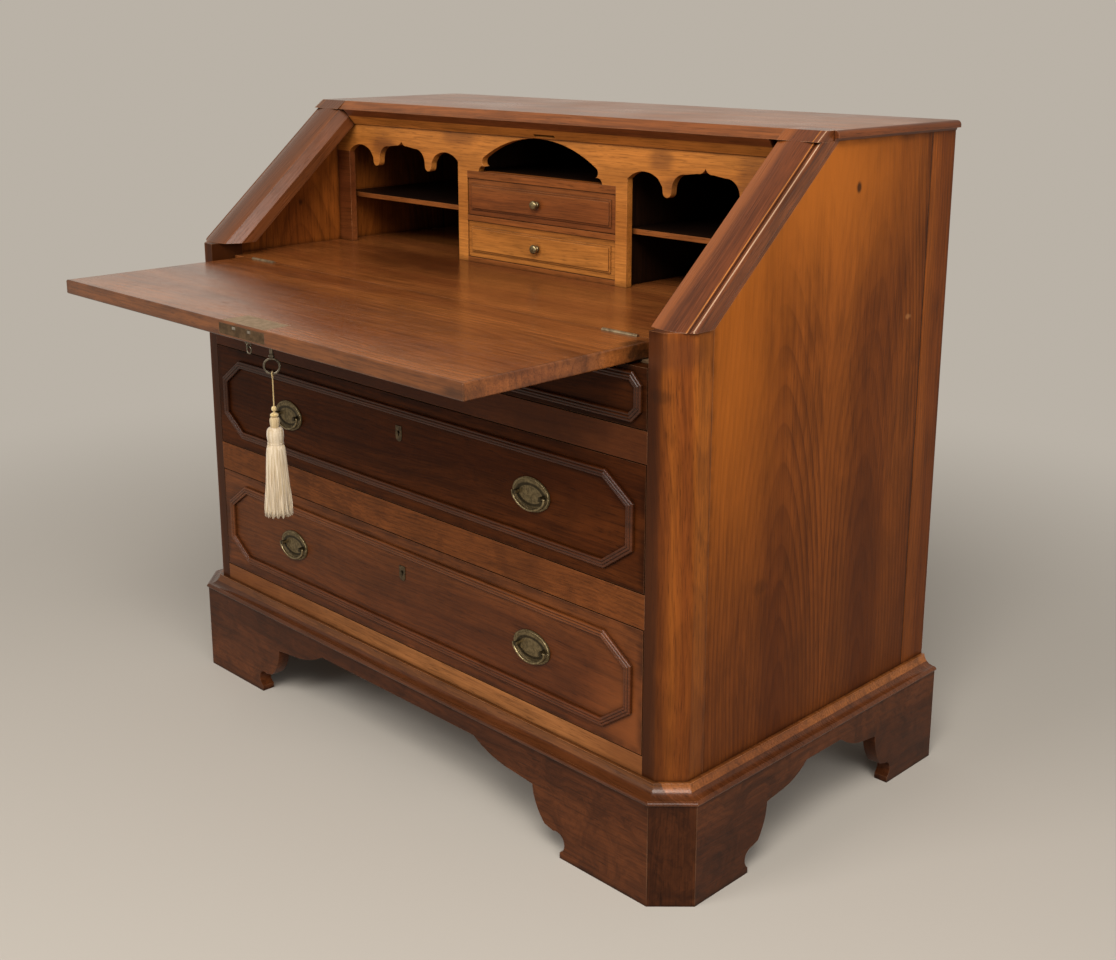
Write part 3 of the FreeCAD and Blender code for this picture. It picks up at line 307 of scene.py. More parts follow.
class Shader:
    """A material's node tree, with a short call for each kind of node."""

    def __init__(self, name):
        self.material = bpy.data.materials.new(name)
        self.material.use_nodes = True
        self.tree = self.material.node_tree
        self.tree.nodes.clear()
        self.surface = self.add("ShaderNodeBsdfPrincipled")
        self.output = self.add("ShaderNodeOutputMaterial")
        self.tree.links.new(self.surface.outputs[0], self.output.inputs["Surface"])

    def add(self, kind, **settings):
        node = self.tree.nodes.new(kind)
        for name, value in settings.items():
            setattr(node, name, value)
        return node

    def put(self, socket, value):
        """Links a node's output to a socket, or sets a plain value on it."""
        if isinstance(value, bpy.types.NodeSocket):
            self.tree.links.new(value, socket)
        elif isinstance(value, (tuple, list)) and len(value) == 3 and socket.type == "RGBA":
            socket.default_value = (*value, 1)
        else:
            socket.default_value = value

    def set(self, **values):
        """Values of the shader's own sockets; an underscore stands for a space."""
        for name, value in values.items():
            self.put(self.surface.inputs[name.replace("_", " ")], value)

    def math(self, operation, *values):
        node = self.add("ShaderNodeMath", operation=operation)
        for socket, value in zip(node.inputs, values):
            self.put(socket, value)
        return node.outputs[0]

    def sum(self, *values):
        total = values[0]
        for value in values[1:]:
            total = self.math("ADD", total, value)
        return total

    def times(self, a, b):
        return self.math("MULTIPLY", a, b)

    def length(self, *values):
        return self.math("SQRT", self.sum(*[self.times(v, v) for v in values]))

    def vector(self, x, y, z):
        node = self.add("ShaderNodeCombineXYZ")
        for socket, value in zip(node.inputs, (x, y, z)):
            self.put(socket, value)
        return node.outputs[0]

    def split(self, vector):
        node = self.add("ShaderNodeSeparateXYZ")
        self.put(node.inputs[0], vector)
        return list(node.outputs)

    def place(self, turn=0.0):
        """Object coordinates, turned about X."""
        vector = self.add("ShaderNodeTexCoord").outputs["Object"]
        if turn:
            node = self.add("ShaderNodeVectorRotate", rotation_type="X_AXIS")
            self.put(node.inputs["Vector"], vector)
            node.inputs["Angle"].default_value = turn
            vector = node.outputs[0]
        return vector

    def noise(self, vector, scale=1.0, detail=3.0, roughness=0.55, distortion=0.0):
        node = self.add("ShaderNodeTexNoise", noise_dimensions="3D")
        for name, value in (("Vector", vector), ("Scale", scale), ("Detail", detail),
                            ("Roughness", roughness), ("Distortion", distortion)):
            self.put(node.inputs[name], value)
        return node

    def smooth(self, value, low, high, to_low=0.0, to_high=1.0):
        """A soft step between two values."""
        node = self.add("ShaderNodeMapRange", interpolation_type="SMOOTHSTEP")
        for socket, given in zip(node.inputs, (value, low, high, to_low, to_high)):
            self.put(socket, given)
        return node.outputs[0]

    def ramp(self, value, *stops):
        """A run of colours or greys, each at its place from 0 to 1."""
        node = self.add("ShaderNodeValToRGB")
        elements = node.color_ramp.elements
        while len(elements) < len(stops):
            elements.new(0.5)
        for element, (at, colour) in zip(elements, stops):
            element.position = at
            element.color = (*colour, 1) if isinstance(colour, tuple) else (colour, colour, colour, 1)
        self.put(node.inputs[0], value)
        return node.outputs[0]

    def mix(self, share, a, b, blend="MIX"):
        node = self.add("ShaderNodeMix", data_type="RGBA", blend_type=blend)
        for index, value in ((0, share), (6, a), (7, b)):  # the sockets for colours
            self.put(node.inputs[index], value)
        return node.outputs[2]

    def bump(self, height, strength, distance, normal=None):
        """Fine relief on the shader's normal."""
        node = self.add("ShaderNodeBump")
        for name, value in (("Height", height), ("Strength", strength), ("Distance", distance)):
            self.put(node.inputs[name], value)
        if normal:
            self.put(node.inputs["Normal"], normal)
        self.set(Normal=node.outputs[0])

    def eased(self, radius):
        """The normal with each arris eased to a radius, and how much a point lies on an arris."""
        node = self.add("ShaderNodeBevel", samples=4)
        node.inputs["Radius"].default_value = radius
        facing = self.add("ShaderNodeVectorMath", operation="DOT_PRODUCT")
        self.put(facing.inputs[0], node.outputs[0])
        self.put(facing.inputs[1], self.add("ShaderNodeNewGeometry").outputs["Normal"])
        return node.outputs[0], self.smooth(facing.outputs["Value"], 0.82, 0.97, 1.0, 0.0)

    def corners(self, reach):
        """How deep a point lies in an inner corner, by ambient occlusion, for painted shade there."""
        node = self.add("ShaderNodeAmbientOcclusion", samples=4)
        node.inputs["Distance"].default_value = reach
        return self.smooth(node.outputs["AO"], 0.40, 0.92, 1.0, 0.0)


AXES = "XYZ"


def edge_share(shader, vector, box, width, spare):
    """One at the edges of a box, falling to nothing over a width. Spare axes have no edge."""
    gaps = []
    for axis, value, low, high in zip(AXES, shader.split(vector), *box):
        if axis in spare:
            gaps.append(1.0)
            continue
        middle, reach = (low + high) / 2, (high - low) / 2
        away = shader.math("ABSOLUTE", shader.sum(value, -middle))
        gaps.append(shader.math("SUBTRACT", reach, away))
    x, y, z = gaps
    nearest = shader.math("MAXIMUM", shader.math("MINIMUM", x, y),
                          shader.math("MINIMUM", shader.math("MAXIMUM", x, y), z))
    return shader.smooth(nearest, 0.0, width, 1.0, 0.0)


def scaled(colour, factor):
    return tuple(c * factor for c in colour)


def toned(tones, factor):
    """The tones of a wood, all lighter or darker by a factor."""
    return tuple(scaled(tone, factor) for tone in tones)


# Rules for all woods. Pairs are the noise values between which a feature comes in, and for the heart
# the distances from the pith.
STREAKS, STREAK_SHARE = (0.46, 0.72), 0.42
PATCHES = (0.30, 0.65)
PORES, PORE_SHARE = (0.58, 0.72), 0.48
HEART_REACH = (0.010, 0.070)
# The last value here is how dark the painted shade in inner corners is.
ARRIS_RADIUS, CORNER_REACH, CORNER_SHADE_SHARE = 0.0012, 0.009, 0.70
# Pale arrises: partly worn wood, partly a painted highlight along the edges.
WORN_GLINT, WORN_GLINT_SHARE = (0.62, 0.36, 0.20), 0.4
RIM_BY_CLOUDS, RIM_BY_LINES = 0.7, 1.2
LEAST_ROUGH, GRAIN_BUMP, GRAIN_DEPTH = 0.12, 0.20, 0.0006


def wood(name, grain, flat, tones, box=None, pair=False, ring=0.009, pith=0.0, fold=0.0, middle=0.0,
         depth=0.04, taper=0.05, heart=0.0, bands=9.0, contrast=1.0, arch=0.42, burl=0.0, blotch=0.15,
         edge=0.008, wear=0.4, spare="", gloss=0.34, level=0.25, turn=0.0, low_shade=None, marks=(), zones=(),
         wear_and_glint=0.5):
    """Sawn and polished wood. The grain runs along one axis, and flat is the axis that the broad face
    looks along; pair mirrors the pieces to the left. Growth rings are cones about a pith, depth behind
    the face, which gives arched figure; fold sets two piths that far to each side. Heart darkens the
    middle of the figure, arch is how dark its lines are, bands is how close the soft stripes lie, burl
    and blotch swirl the figure and darken it in clouds. Edge and wear darken the rim of a box, spare
    axes left out. The shade by height is painted shade, darker below one height and gone by another;
    marks are stains and patches of painted light or shade (centre, size, colour, share, and how large
    the even middle and how ragged the rim is); zones are faces of another tone, some of them painted
    light or shade; and the paling of the arrises is partly wear and partly a painted highlight. Inner
    corners take painted shade by ambient occlusion. Gloss is the roughness, and level the specular level."""
    dark, mid, light = tones
    s = Shader(name)
    place = s.place(turn)
    x, y, z = s.split(place)
    if pair:
        x = s.math("ABSOLUTE", x)
        place = s.vector(x, y, z)
    by_axis = dict(zip(AXES, (x, y, z)))
    along, deep = by_axis[grain], by_axis[flat]
    cross = by_axis[next(a for a in AXES if a not in (grain, flat))]

    drift = s.noise(s.vector(s.times(along, 1.3), s.times(cross, 5.0), s.times(deep, 5.0)),
                    detail=2.0, roughness=0.5)
    red, green, _ = s.split(drift.outputs["Color"])
    wander = s.sum(cross, s.times(s.sum(red, -0.5), 0.07))

    def stretched(lengthwise, crosswise):
        return s.vector(s.times(along, lengthwise), s.times(wander, crosswise), s.times(deep, crosswise))

    aside = s.sum(wander, -pith)
    if fold:
        aside = s.sum(s.math("ABSOLUTE", aside), -fold)
    behind = s.sum(s.times(s.sum(along, -middle), taper), depth, s.times(s.sum(green, -0.5), 0.05))
    radius = s.length(aside, behind)
    if burl:
        swirl = s.noise(place, 14.0, 4.0, 0.6, 1.8).outputs["Fac"]
        radius = s.sum(radius, s.times(s.sum(swirl, -0.5), burl))
    growth = s.math("FRACT", s.math("DIVIDE", radius, ring))
    late = s.ramp(growth, (0.0, 0.15), (0.30, 0.0), (0.78, 0.7), (0.92, 1.0), (1.0, 0.15))
    fibre = s.noise(stretched(13.0, 420.0), detail=3.0, roughness=0.6).outputs["Fac"]
    lines = s.noise(stretched(3.0, 90.0), detail=3.0, roughness=0.65).outputs["Fac"]
    band = s.noise(stretched(0.5, bands), detail=2.5, roughness=0.5).outputs["Fac"]
    shown = s.noise(stretched(2.0, 6.0), detail=2.0).outputs["Fac"]
    pores = s.smooth(s.noise(stretched(42.0, 720.0), detail=1.5).outputs["Fac"], *PORES)
    banded = s.smooth(band, 0.36, 0.64)
    colour = s.mix(banded, mid, light)
    if heart:
        colour = s.mix(s.smooth(radius, *HEART_REACH, heart, 0.0), colour, dark)
    if burl:
        colour = s.mix(s.smooth(swirl, 0.42, 0.68, 0.0, blotch), colour, dark)
    arched = s.smooth(shown, 0.30, 0.70, 0.3 * arch * contrast, arch * contrast)
    colour = s.mix(s.times(late, arched), colour, dark)
    colour = s.mix(s.smooth(lines, *STREAKS, 0.0, STREAK_SHARE * contrast), colour, dark)
    for bounds, (zone_dark, zone_mid, zone_light) in zones:
        inside = 1.0
        for axis, (low, high) in bounds.items():
            inside = s.times(inside, s.math("COMPARE", by_axis[axis], (low + high) / 2, (high - low) / 2))
        other = s.mix(banded, zone_mid, zone_light)
        other = s.mix(s.smooth(lines, *STREAKS, 0.0, STREAK_SHARE), other, zone_dark)
        colour = s.mix(inside, colour, other)
    colour = s.mix(1.0, colour, s.ramp(fibre, (0.30, 0.62), (0.5, 0.88), (0.68, 1.0)), "MULTIPLY")
    colour = s.mix(s.times(pores, PORE_SHARE), colour, scaled(dark, 0.45))
    clouds = s.noise(place, 20.0, 3.0).outputs["Fac"]
    mottle = s.noise(stretched(9.0, 24.0), detail=3.0, roughness=0.6, distortion=0.6).outputs["Fac"]
    colour = s.mix(1.0, colour, s.ramp(mottle, (0.30, 0.72), (0.62, 1.0)), "MULTIPLY")
    spot = s.split(s.place())
    # Painted shade: darker towards the floor, where less light falls.
    if low_shade:
        low, high, dim = low_shade
        colour = s.mix(s.smooth(spot[2], low, high, dim, 0.0), colour, scaled(dark, 0.8))
    for centre, size, stain, share, *form in marks:
        core, ragged = form or (0.35, 1.0)
        spread = [s.times(s.sum(v, -c), 1 / r) for v, c, r in zip(spot, centre, size)]
        reach = s.sum(s.length(*spread), s.times(s.sum(clouds, -0.5), RIM_BY_CLOUDS * ragged),
                      s.times(s.sum(lines, -0.5), RIM_BY_LINES * ragged))
        colour = s.mix(s.smooth(reach, core, 1.0, share, 0.0), colour, stain)
    patchy = s.smooth(clouds, *PATCHES)
    normal, arris = s.eased(ARRIS_RADIUS)
    corner_shade = s.corners(CORNER_REACH)
    if box:
        worn = edge_share(s, place, box, edge, spare)
        colour = s.mix(s.times(s.times(worn, patchy), wear), colour, scaled(dark, 0.35))
    # Arrises made paler: partly worn, partly a painted highlight.
    worn_glint_mask = s.times(s.times(arris, s.smooth(clouds, *PATCHES, 0.3 * wear_and_glint, wear_and_glint)), s.math("SUBTRACT", 1.0, corner_shade))
    pale = tuple((1 - WORN_GLINT_SHARE) * c + WORN_GLINT_SHARE * p for c, p in zip(scaled(light, 1.25), WORN_GLINT))
    colour = s.mix(worn_glint_mask, colour, pale)
    # Painted shade: inner corners darkened by ambient occlusion.
    colour = s.mix(s.times(corner_shade, CORNER_SHADE_SHARE), colour, scaled(dark, 0.22))
    smudge = s.noise(place, 7.0, 3.0).outputs["Fac"]
    rough = s.sum(gloss, s.times(s.sum(fibre, -0.5), 0.14), s.times(s.sum(smudge, -0.5), 0.20))
    s.set(Base_Color=colour, Roughness=s.math("MAXIMUM", rough, LEAST_ROUGH), Specular_IOR_Level=level)
    height = s.sum(s.times(fibre, 0.5), s.times(pores, -0.6), s.times(growth, 0.10), s.times(smudge, 0.5))
    s.bump(height, GRAIN_BUMP, GRAIN_DEPTH, normal)
    return s.material


BRASS_BUMP, BRASS_DEPTH, BRASS_METAL = 0.35, 0.0006, 0.92


def brass(name, bright, dull, scale, rough, upper=None, well=None):
    """Old brass: dark patina in patches, rubbed brighter between them, fine scratches. Upper is a
    height and a lighter tone above it, a painted sheen on the top face. Well is the place and half size
    of an oval, one to each side, with painted shadow in the groove round it."""
    s = Shader(name)
    place = s.place()
    patch = s.noise(place, scale, 5.0, 0.62, 0.4).outputs["Fac"]
    fine = s.noise(place, scale * 14, 3.0, 0.6).outputs["Fac"]
    patchy = s.smooth(patch, 0.36, 0.66)
    colour = s.mix(patchy, dull, bright)
    # Painted sheen: the top face lighter above the given height.
    if upper:
        height, tone = upper
        over = s.smooth(s.split(place)[2], height - 0.0010, height - 0.0002)
        colour = s.mix(over, colour, s.mix(patchy, scaled(tone, 0.75), tone))
    if well:
        at_x, at_z, half_width, half_height = well
        x, _, z = s.split(place)
        aside = s.times(s.sum(s.math("ABSOLUTE", x), -at_x), 1 / half_width)
        above = s.times(s.sum(z, -at_z), 1 / half_height)
        reach = s.length(aside, above)
        # Painted shadow in the groove round each pull's inner oval.
        groove = s.times(s.smooth(reach, 1.00, 1.12), s.smooth(reach, 1.30, 1.46, 1.0, 0.0))
        colour = s.mix(s.times(groove, 0.85), colour, scaled(dull, 0.20))
    colour = s.mix(s.smooth(fine, 0.55, 0.8, 0.0, 0.4), colour, scaled(dull, 0.4))
    roughness = s.sum(rough, s.times(s.sum(patch, -0.5), -0.35))
    s.set(Base_Color=colour, Metallic=BRASS_METAL, Roughness=roughness)
    s.bump(s.sum(s.times(patch, 0.6), s.times(fine, 0.4)), BRASS_BUMP, BRASS_DEPTH)
    return s.material


THREAD_BUMP, THREAD_DEPTH, THREAD_SHEEN = 0.4, 0.0003, 0.4


def thread(name, light, dark):
    """Spun thread: fine twisted fibres with soft tonal bands along the hang."""
    s = Shader(name)
    place = s.place()
    x, y, z = s.split(place)
    hang = s.vector(s.times(x, 420.0), s.times(y, 420.0), s.times(z, 14.0))
    bands = s.noise(hang, detail=3.0).outputs["Fac"]
    ply = s.noise(place, 1900.0, 2.0).outputs["Fac"]
    colour = s.mix(s.smooth(bands, 0.32, 0.68), dark, light)
    colour = s.mix(s.smooth(ply, 0.40, 0.75, 0.0, 0.35), colour, scaled(dark, 0.62))
    s.set(Base_Color=colour, Roughness=s.sum(0.80, s.times(bands, 0.15)), Sheen_Weight=THREAD_SHEEN,
          Sheen_Roughness=0.4)
    s.bump(ply, THREAD_BUMP, THREAD_DEPTH)
    return s.material


def box_of(*nodes, pair=False):
    """Lowest and highest corner of nodes; with pair, of their right halves."""
    points = np.concatenate([np.array([v.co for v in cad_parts[n].data.vertices]) for n in nodes])
    if pair:
        points[:, 0] = np.abs(points[:, 0])
    return points.min(0).tolist(), points.max(0).tolist()


def paint(material, *nodes):
    """Gives CAD nodes a material in place of their plain one."""
    for node in nodes:
        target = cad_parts[node].data
        target.materials.clear()
        target.materials.append(material)


# Tones of each wood: its dark lines, its ground and its light streaks

SIDE = ((0.066, 0.0152, 0.0036), (0.180, 0.0440, 0.0068), (0.270, 0.0700, 0.0098))
POST = ((0.080, 0.0190, 0.0045), (0.205, 0.0500, 0.0070), (0.360, 0.1020, 0.0120))
# FRONT darkened: a painted shadow of the open fall on the top drawer.
FALL_SHADOW_FRONT = ((0.011, 0.0024, 0.0006), (0.042, 0.0094, 0.0018), (0.068, 0.0170, 0.0034))
FRONT = ((0.017, 0.0035, 0.0008), (0.064, 0.0142, 0.0025), (0.104, 0.0260, 0.0048))
# FRONT lightened: painted light and floor reflection on the bottom drawer.
FLOOR_LIT_FRONT = ((0.034, 0.0080, 0.0022), (0.128, 0.0320, 0.0072), (0.200, 0.0570, 0.0125))
RAIL = ((0.036, 0.0088, 0.0026), (0.132, 0.0325, 0.0072), (0.215, 0.0620, 0.0130))
LID = ((0.078, 0.0200, 0.0060), (0.242, 0.0680, 0.0165), (0.360, 0.1120, 0.0255))
GOLD = ((0.160, 0.0460, 0.0080), (0.450, 0.1480, 0.0250), (0.600, 0.2150, 0.0400))
# Set lighter in part to offset the shade on the left inner wall: partly painted light.
WALL = ((0.190, 0.0540, 0.0135), (0.400, 0.1220, 0.0285), (0.480, 0.1540, 0.0350))
MOULD = ((0.060, 0.0165, 0.0048), (0.250, 0.0740, 0.0180), (0.390, 0.1260, 0.0290))
LOW_MOULD_SHADE = ((0.022, 0.0062, 0.0022), (0.090, 0.0250, 0.0072), (0.150, 0.0430, 0.0120))
RED = ((0.070, 0.0165, 0.0045), (0.215, 0.0580, 0.0125), (0.320, 0.0980, 0.0210))
FOOT = ((0.026, 0.0076, 0.0030), (0.082, 0.0225, 0.0068), (0.132, 0.0375, 0.0105))
STILE = ((0.040, 0.0102, 0.0036), (0.150, 0.0375, 0.0098), (0.240, 0.0670, 0.0165))
BEVEL = ((0.040, 0.0110, 0.0034), (0.120, 0.0330, 0.0090), (0.175, 0.0500, 0.0130))
# A pale tone for the painted highlight along the outer bead of the stiles.
BEAD_GLINT = ((0.260, 0.1250, 0.0600), (0.520, 0.3000, 0.1700), (0.660, 0.4300, 0.2700))
SEAM = ((0.010, 0.0030, 0.0010), (0.022, 0.0060, 0.0018), (0.035, 0.0095, 0.0026))
BACK = ((0.040, 0.0180, 0.0080), (0.120, 0.0560, 0.0250), (0.170, 0.0850, 0.0400))
# Near black: painted shade for the inside of the pigeonholes.
PIGEONHOLE_SHADE = ((0.003, 0.0010, 0.0004), (0.010, 0.0034, 0.0011), (0.020, 0.0070, 0.0022))
PLAIN = ((0.130, 0.0650, 0.0280), (0.310, 0.1750, 0.0820), (0.420, 0.2600, 0.1350))
SOOT, OCHRE = (0.012, 0.0050, 0.0025), (0.520, 0.2300, 0.0800)

# The case, from the sides inwards. Marks and zones follow the photograph.

SIDE_MARKS = (((0.55, -0.060, 0.720), (0.05, 0.160, 0.440), (0.410, 0.1120, 0.0110), 0.58, 0.0, 0.3),
              ((0.55, 0.120, 0.960), (0.05, 0.320, 0.260), (0.450, 0.1260, 0.0150), 0.80, 0.0, 0.3),
              ((0.55, 0.160, 0.660), (0.05, 0.045, 0.300), (0.300, 0.0800, 0.0115), 0.22, 0.0, 0.5),
              ((0.55, 0.198, 0.921), (0.05, 0.007, 0.010), SOOT, 0.85),
              ((0.55, 0.011, 0.401), (0.05, 0.024, 0.014), SOOT, 0.28),
              ((0.55, 0.339, 0.725), (0.05, 0.010, 0.005), OCHRE, 0.35),
              ((-0.49, 0.044, 0.822), (0.05, 0.006, 0.008), SOOT, 0.85),
              ((0.55, 0.255, 0.400), (0.05, 0.060, 0.200), (0.046, 0.0120, 0.0042), 0.35, 0.0, 0.5))
fascia_face, fascia_rear = (corner[1] for corner in box_of("gallery_fascia"))
WALL_IN, AHEAD, BEHIND = 0.5, -1.0, 1.0
SEAM_HALF = 0.0018
rear_joint = box_of("side_panels")[1][1]
# Behind the fascia the inside of the side is near black, a painted shade for the pigeonholes.
SIDE_ZONES = (({"Y": (rear_joint - SEAM_HALF, BEHIND)}, SEAM), ({"X": (0.0, WALL_IN)}, WALL),
              ({"X": (0.0, WALL_IN), "Y": (fascia_face, BEHIND)}, PIGEONHOLE_SHADE))
# The side, the rear stiles and the posts take painted shade towards the floor.
paint(wood("walnut_side", "Z", "X", SIDE, box_of("side_panels", pair=True), True, ring=0.0085, pith=0.151,
           fold=0.094, middle=0.10, depth=0.0, taper=0.14, heart=0.40, arch=0.85, edge=0.012, wear=0.45,
           low_shade=(0.15, 0.75, 0.45), marks=SIDE_MARKS, zones=SIDE_ZONES, contrast=0.85, gloss=0.38,
           level=0.08), "side_panels")
paint(wood("walnut_rear_stile", "Z", "X", toned(SIDE, 1.2), box_of("rear_stiles", pair=True), True,
           ring=0.007, pith=0.6, taper=0.04, bands=30.0, edge=0.006, wear=0.5, low_shade=(0.15, 0.9, 0.45),
           level=0.08, zones=(({"Y": (0.0, rear_joint + SEAM_HALF)}, SEAM),)), "rear_stiles")
POST_FRONT_SHADE = (0.032, 0.0080, 0.0020)
# The first two marks darken the front face of each post beside the drawers: painted shade.
POST_MARKS = (((0.490, -0.16, 0.33), (0.044, 0.80, 3.0), POST_FRONT_SHADE, 0.92, 0.35, 0.3),
              ((-0.490, -0.16, 0.33), (0.044, 0.80, 3.0), POST_FRONT_SHADE, 0.92, 0.35, 0.3),
              ((0.525, -0.150, 0.745), (0.060, 0.050, 0.030), (0.090, 0.0260, 0.0085), 0.45),
              ((0.515, -0.155, 0.690), (0.020, 0.030, 0.012), SOOT, 0.35))
paint(wood("walnut_post", "Z", "Y", POST, box_of("corner_posts", pair=True), True, ring=0.006, pith=0.40,
           depth=0.06, taper=0.04, bands=26.0, edge=0.006, wear=0.5, contrast=0.8, low_shade=(0.10, 0.60, 0.45),
           marks=POST_MARKS, level=0.12), "corner_posts")
paint(wood("walnut_top", "X", "Z", LID, box_of("top_board"), ring=0.008, pith=0.20, depth=0.05, edge=0.008,
           wear=0.4, gloss=0.30, level=0.35), "top_board")
paint(wood("walnut_top_edge", "Y", "Z", STILE, ring=0.006, pith=0.5, gloss=0.32), "top_mouldings")
STRIKE_LOW, STRIKE_LINE = 0.9, 0.9745
paint(wood("walnut_strike", "X", "Y", STILE, ring=0.006, pith=0.90, contrast=0.6, gloss=0.36,
           zones=(({"Z": (STRIKE_LOW, STRIKE_LINE)}, GOLD),)), "strike_rail")
STILE_FACE, STILE_CREST, STILE_BEAD = 0.4826, (0.5396, 0.5411), (0.5476, 0.5490)
SLANT = math.radians(41)
# The last mark greys the left stile: a painted sheen.
STILE_MARKS = (((0.508, -0.070, 0.800), (0.014, 0.012, 0.010), SOOT, 0.8),
               ((0.490, 0.0, 0.87), (0.018, 1.0, 1.0), (0.310, 0.0850, 0.0170), 0.55, 0.2, 0.4),
               ((-0.520, 0.0, 0.87), (0.060, 1.0, 1.0), (0.115, 0.0540, 0.0300), 0.50, 0.35, 0.4))
# Painted highlights: a bright line along the crest and a pale one along the outer bead of each stile.
STILE_ZONES = (({"X": (0.0, STILE_FACE)}, BEVEL), ({"X": STILE_CREST}, GOLD), ({"X": STILE_BEAD}, BEAD_GLINT))
paint(wood("walnut_stile", "Y", "Z", STILE, pair=True, ring=0.006, pith=0.62, taper=0.04, bands=24.0,
           gloss=0.28, level=0.40, turn=-SLANT, marks=STILE_MARKS, wear_and_glint=1.0, zones=STILE_ZONES),
      "slant_stiles")
# Painted shadow and reflection of the dark pigeonholes on the rear of the writing bed.
BED_MARKS = (((-0.15, 0.070, 0.747), (0.46, 0.130, 0.05), (0.058, 0.0145, 0.0040), 0.72, 0.1, 0.5),)
paint(wood("walnut_bed", "X", "Z", LID, box_of("writing_bed"), ring=0.009, pith=0.05, depth=0.04, edge=0.004,
           wear=0.5, gloss=0.22, level=0.45, spare="XY", marks=BED_MARKS), "writing_bed")
FALL_NOSE = 0.002
fall_front = box_of("fall_board")[0][1]
FALL_MARKS = (((0.46, -0.150, 0.735), (0.020, 0.045, 0.030), SOOT, 0.85),
              ((0.45, -0.425, 0.734), (0.040, 0.030, 0.013), SOOT, 0.70))
paint(wood("walnut_fall", "X", "Z", LID, box_of("fall_board"), ring=0.010, pith=-0.25, depth=0.03, heart=0.35,
           edge=0.010, wear=0.5, gloss=0.22, level=0.45, marks=FALL_MARKS,
           zones=(({"Y": (AHEAD, fall_front + FALL_NOSE)}, toned(LID, 0.55)),)), "fall_board")
# The first mark is a painted shadow of the open fall on the rail below the top drawer; the other two darken
# the ends of the painted highlight on the bottom rail.
RAIL_MARKS = (((0.0, -0.17, 0.650), (4.0, 4.0, 0.110), (0.046, 0.0115, 0.0035), 0.62, 0.5, 0.2),
              ((-0.50, -0.17, 0.185), (0.50, 4.0, 0.080), (0.120, 0.0340, 0.0095), 0.75, 0.0, 0.4),
              ((0.48, -0.17, 0.185), (0.16, 4.0, 0.080), (0.150, 0.0430, 0.0120), 0.55, 0.0, 0.4))
# Golden tone on the bottom rail: a painted highlight where light falls along it.
LOW_RAIL_HIGHLIGHT = ((0.150, 0.0500, 0.0140), (0.370, 0.1400, 0.0420), (0.470, 0.1850, 0.0560))
LOW_RAIL_TOP = 0.26
paint(wood("walnut_rails", "X", "Y", RAIL, ring=0.007, pith=0.50, taper=0.04, burl=0.030, blotch=0.30,
           gloss=0.38, level=0.10, marks=RAIL_MARKS, zones=(({"Z": (0.0, LOW_RAIL_TOP)}, LOW_RAIL_HIGHLIGHT),)),
      "drawer_rails")
DRAWER_MARKS = (((0.49, -0.17, 0.235), (0.120, 0.60, 0.130), (0.270, 0.0760, 0.0170), 0.55, 0.0, 0.3),)
# One wood on all three drawers and their reeds: the top one in painted shadow, the bottom one in painted
# light.
for number, high, tones, level in ((1, 0.68, FALL_SHADOW_FRONT, 0.05), (2, 0.51, FRONT, 0.05),
                                   (3, 0.285, FLOOR_LIT_FRONT, 0.15)):
    front = "drawer_%d_front" % number
    paint(wood("walnut_drawer_%d" % number, "X", "Y", tones, box_of(front), ring=0.009, pith=high, depth=0.02,
               taper=0.06, heart=0.35, burl=0.012, edge=0.014, wear=0.6, gloss=0.36, level=level,
               marks=DRAWER_MARKS), front)
    paint(wood("walnut_reeds_%d" % number, "X", "Y", tones, ring=0.004, pith=high + 0.2, gloss=0.30,
               level=0.30, wear_and_glint=0.6), "drawer_%d_moulding" % number)
base_low, base_high = (corner[2] for corner in box_of("base_moulding"))
LOW_PART, FRONT_DEPTH = 0.52, 0.030
base_line = base_low + LOW_PART * (base_high - base_low)
front_run = box_of("base_moulding")[0][1] + FRONT_DEPTH
# Painted shade on the base moulding: its lower half and its front run take darker tones, where less light
# falls.
BASE_ZONES = (({"Y": (AHEAD, front_run)}, toned(MOULD, 0.40)), ({"Z": (0.0, base_line)}, LOW_MOULD_SHADE),
              ({"Y": (AHEAD, front_run), "Z": (0.0, base_line)}, toned(LOW_MOULD_SHADE, 0.65)))
paint(wood("walnut_base_moulding", "X", "Z", MOULD, ring=0.006, pith=0.4, burl=0.03, blotch=0.2, gloss=0.26,
           level=0.35, wear_and_glint=0.8, zones=BASE_ZONES), "base_moulding")
paint(wood("walnut_foot_front", "X", "Y", FOOT, box_of("plinth_front"), ring=0.010, pith=0.05, burl=0.05,
           blotch=0.45, edge=0.008, wear=0.6, spare="X", gloss=0.36, level=0.12), "plinth_front")
paint(wood("walnut_foot_side", "Y", "X", FOOT, box_of("plinth_right", pair=True), True, ring=0.010, pith=0.05,
           burl=0.05, blotch=0.55, edge=0.008, wear=0.6, spare="Y", gloss=0.36, level=0.12),
      "plinth_left", "plinth_right")
paint(wood("walnut_foot_cant", "Z", "Y", toned(FOOT, 0.72), pair=True, ring=0.008, pith=0.5, burl=0.04,
           blotch=0.6, gloss=0.36, level=0.12), "plinth_cants")

# The gallery and the inner woods

VALANCE_EDGE_DARK = (0.090, 0.0280, 0.0110)
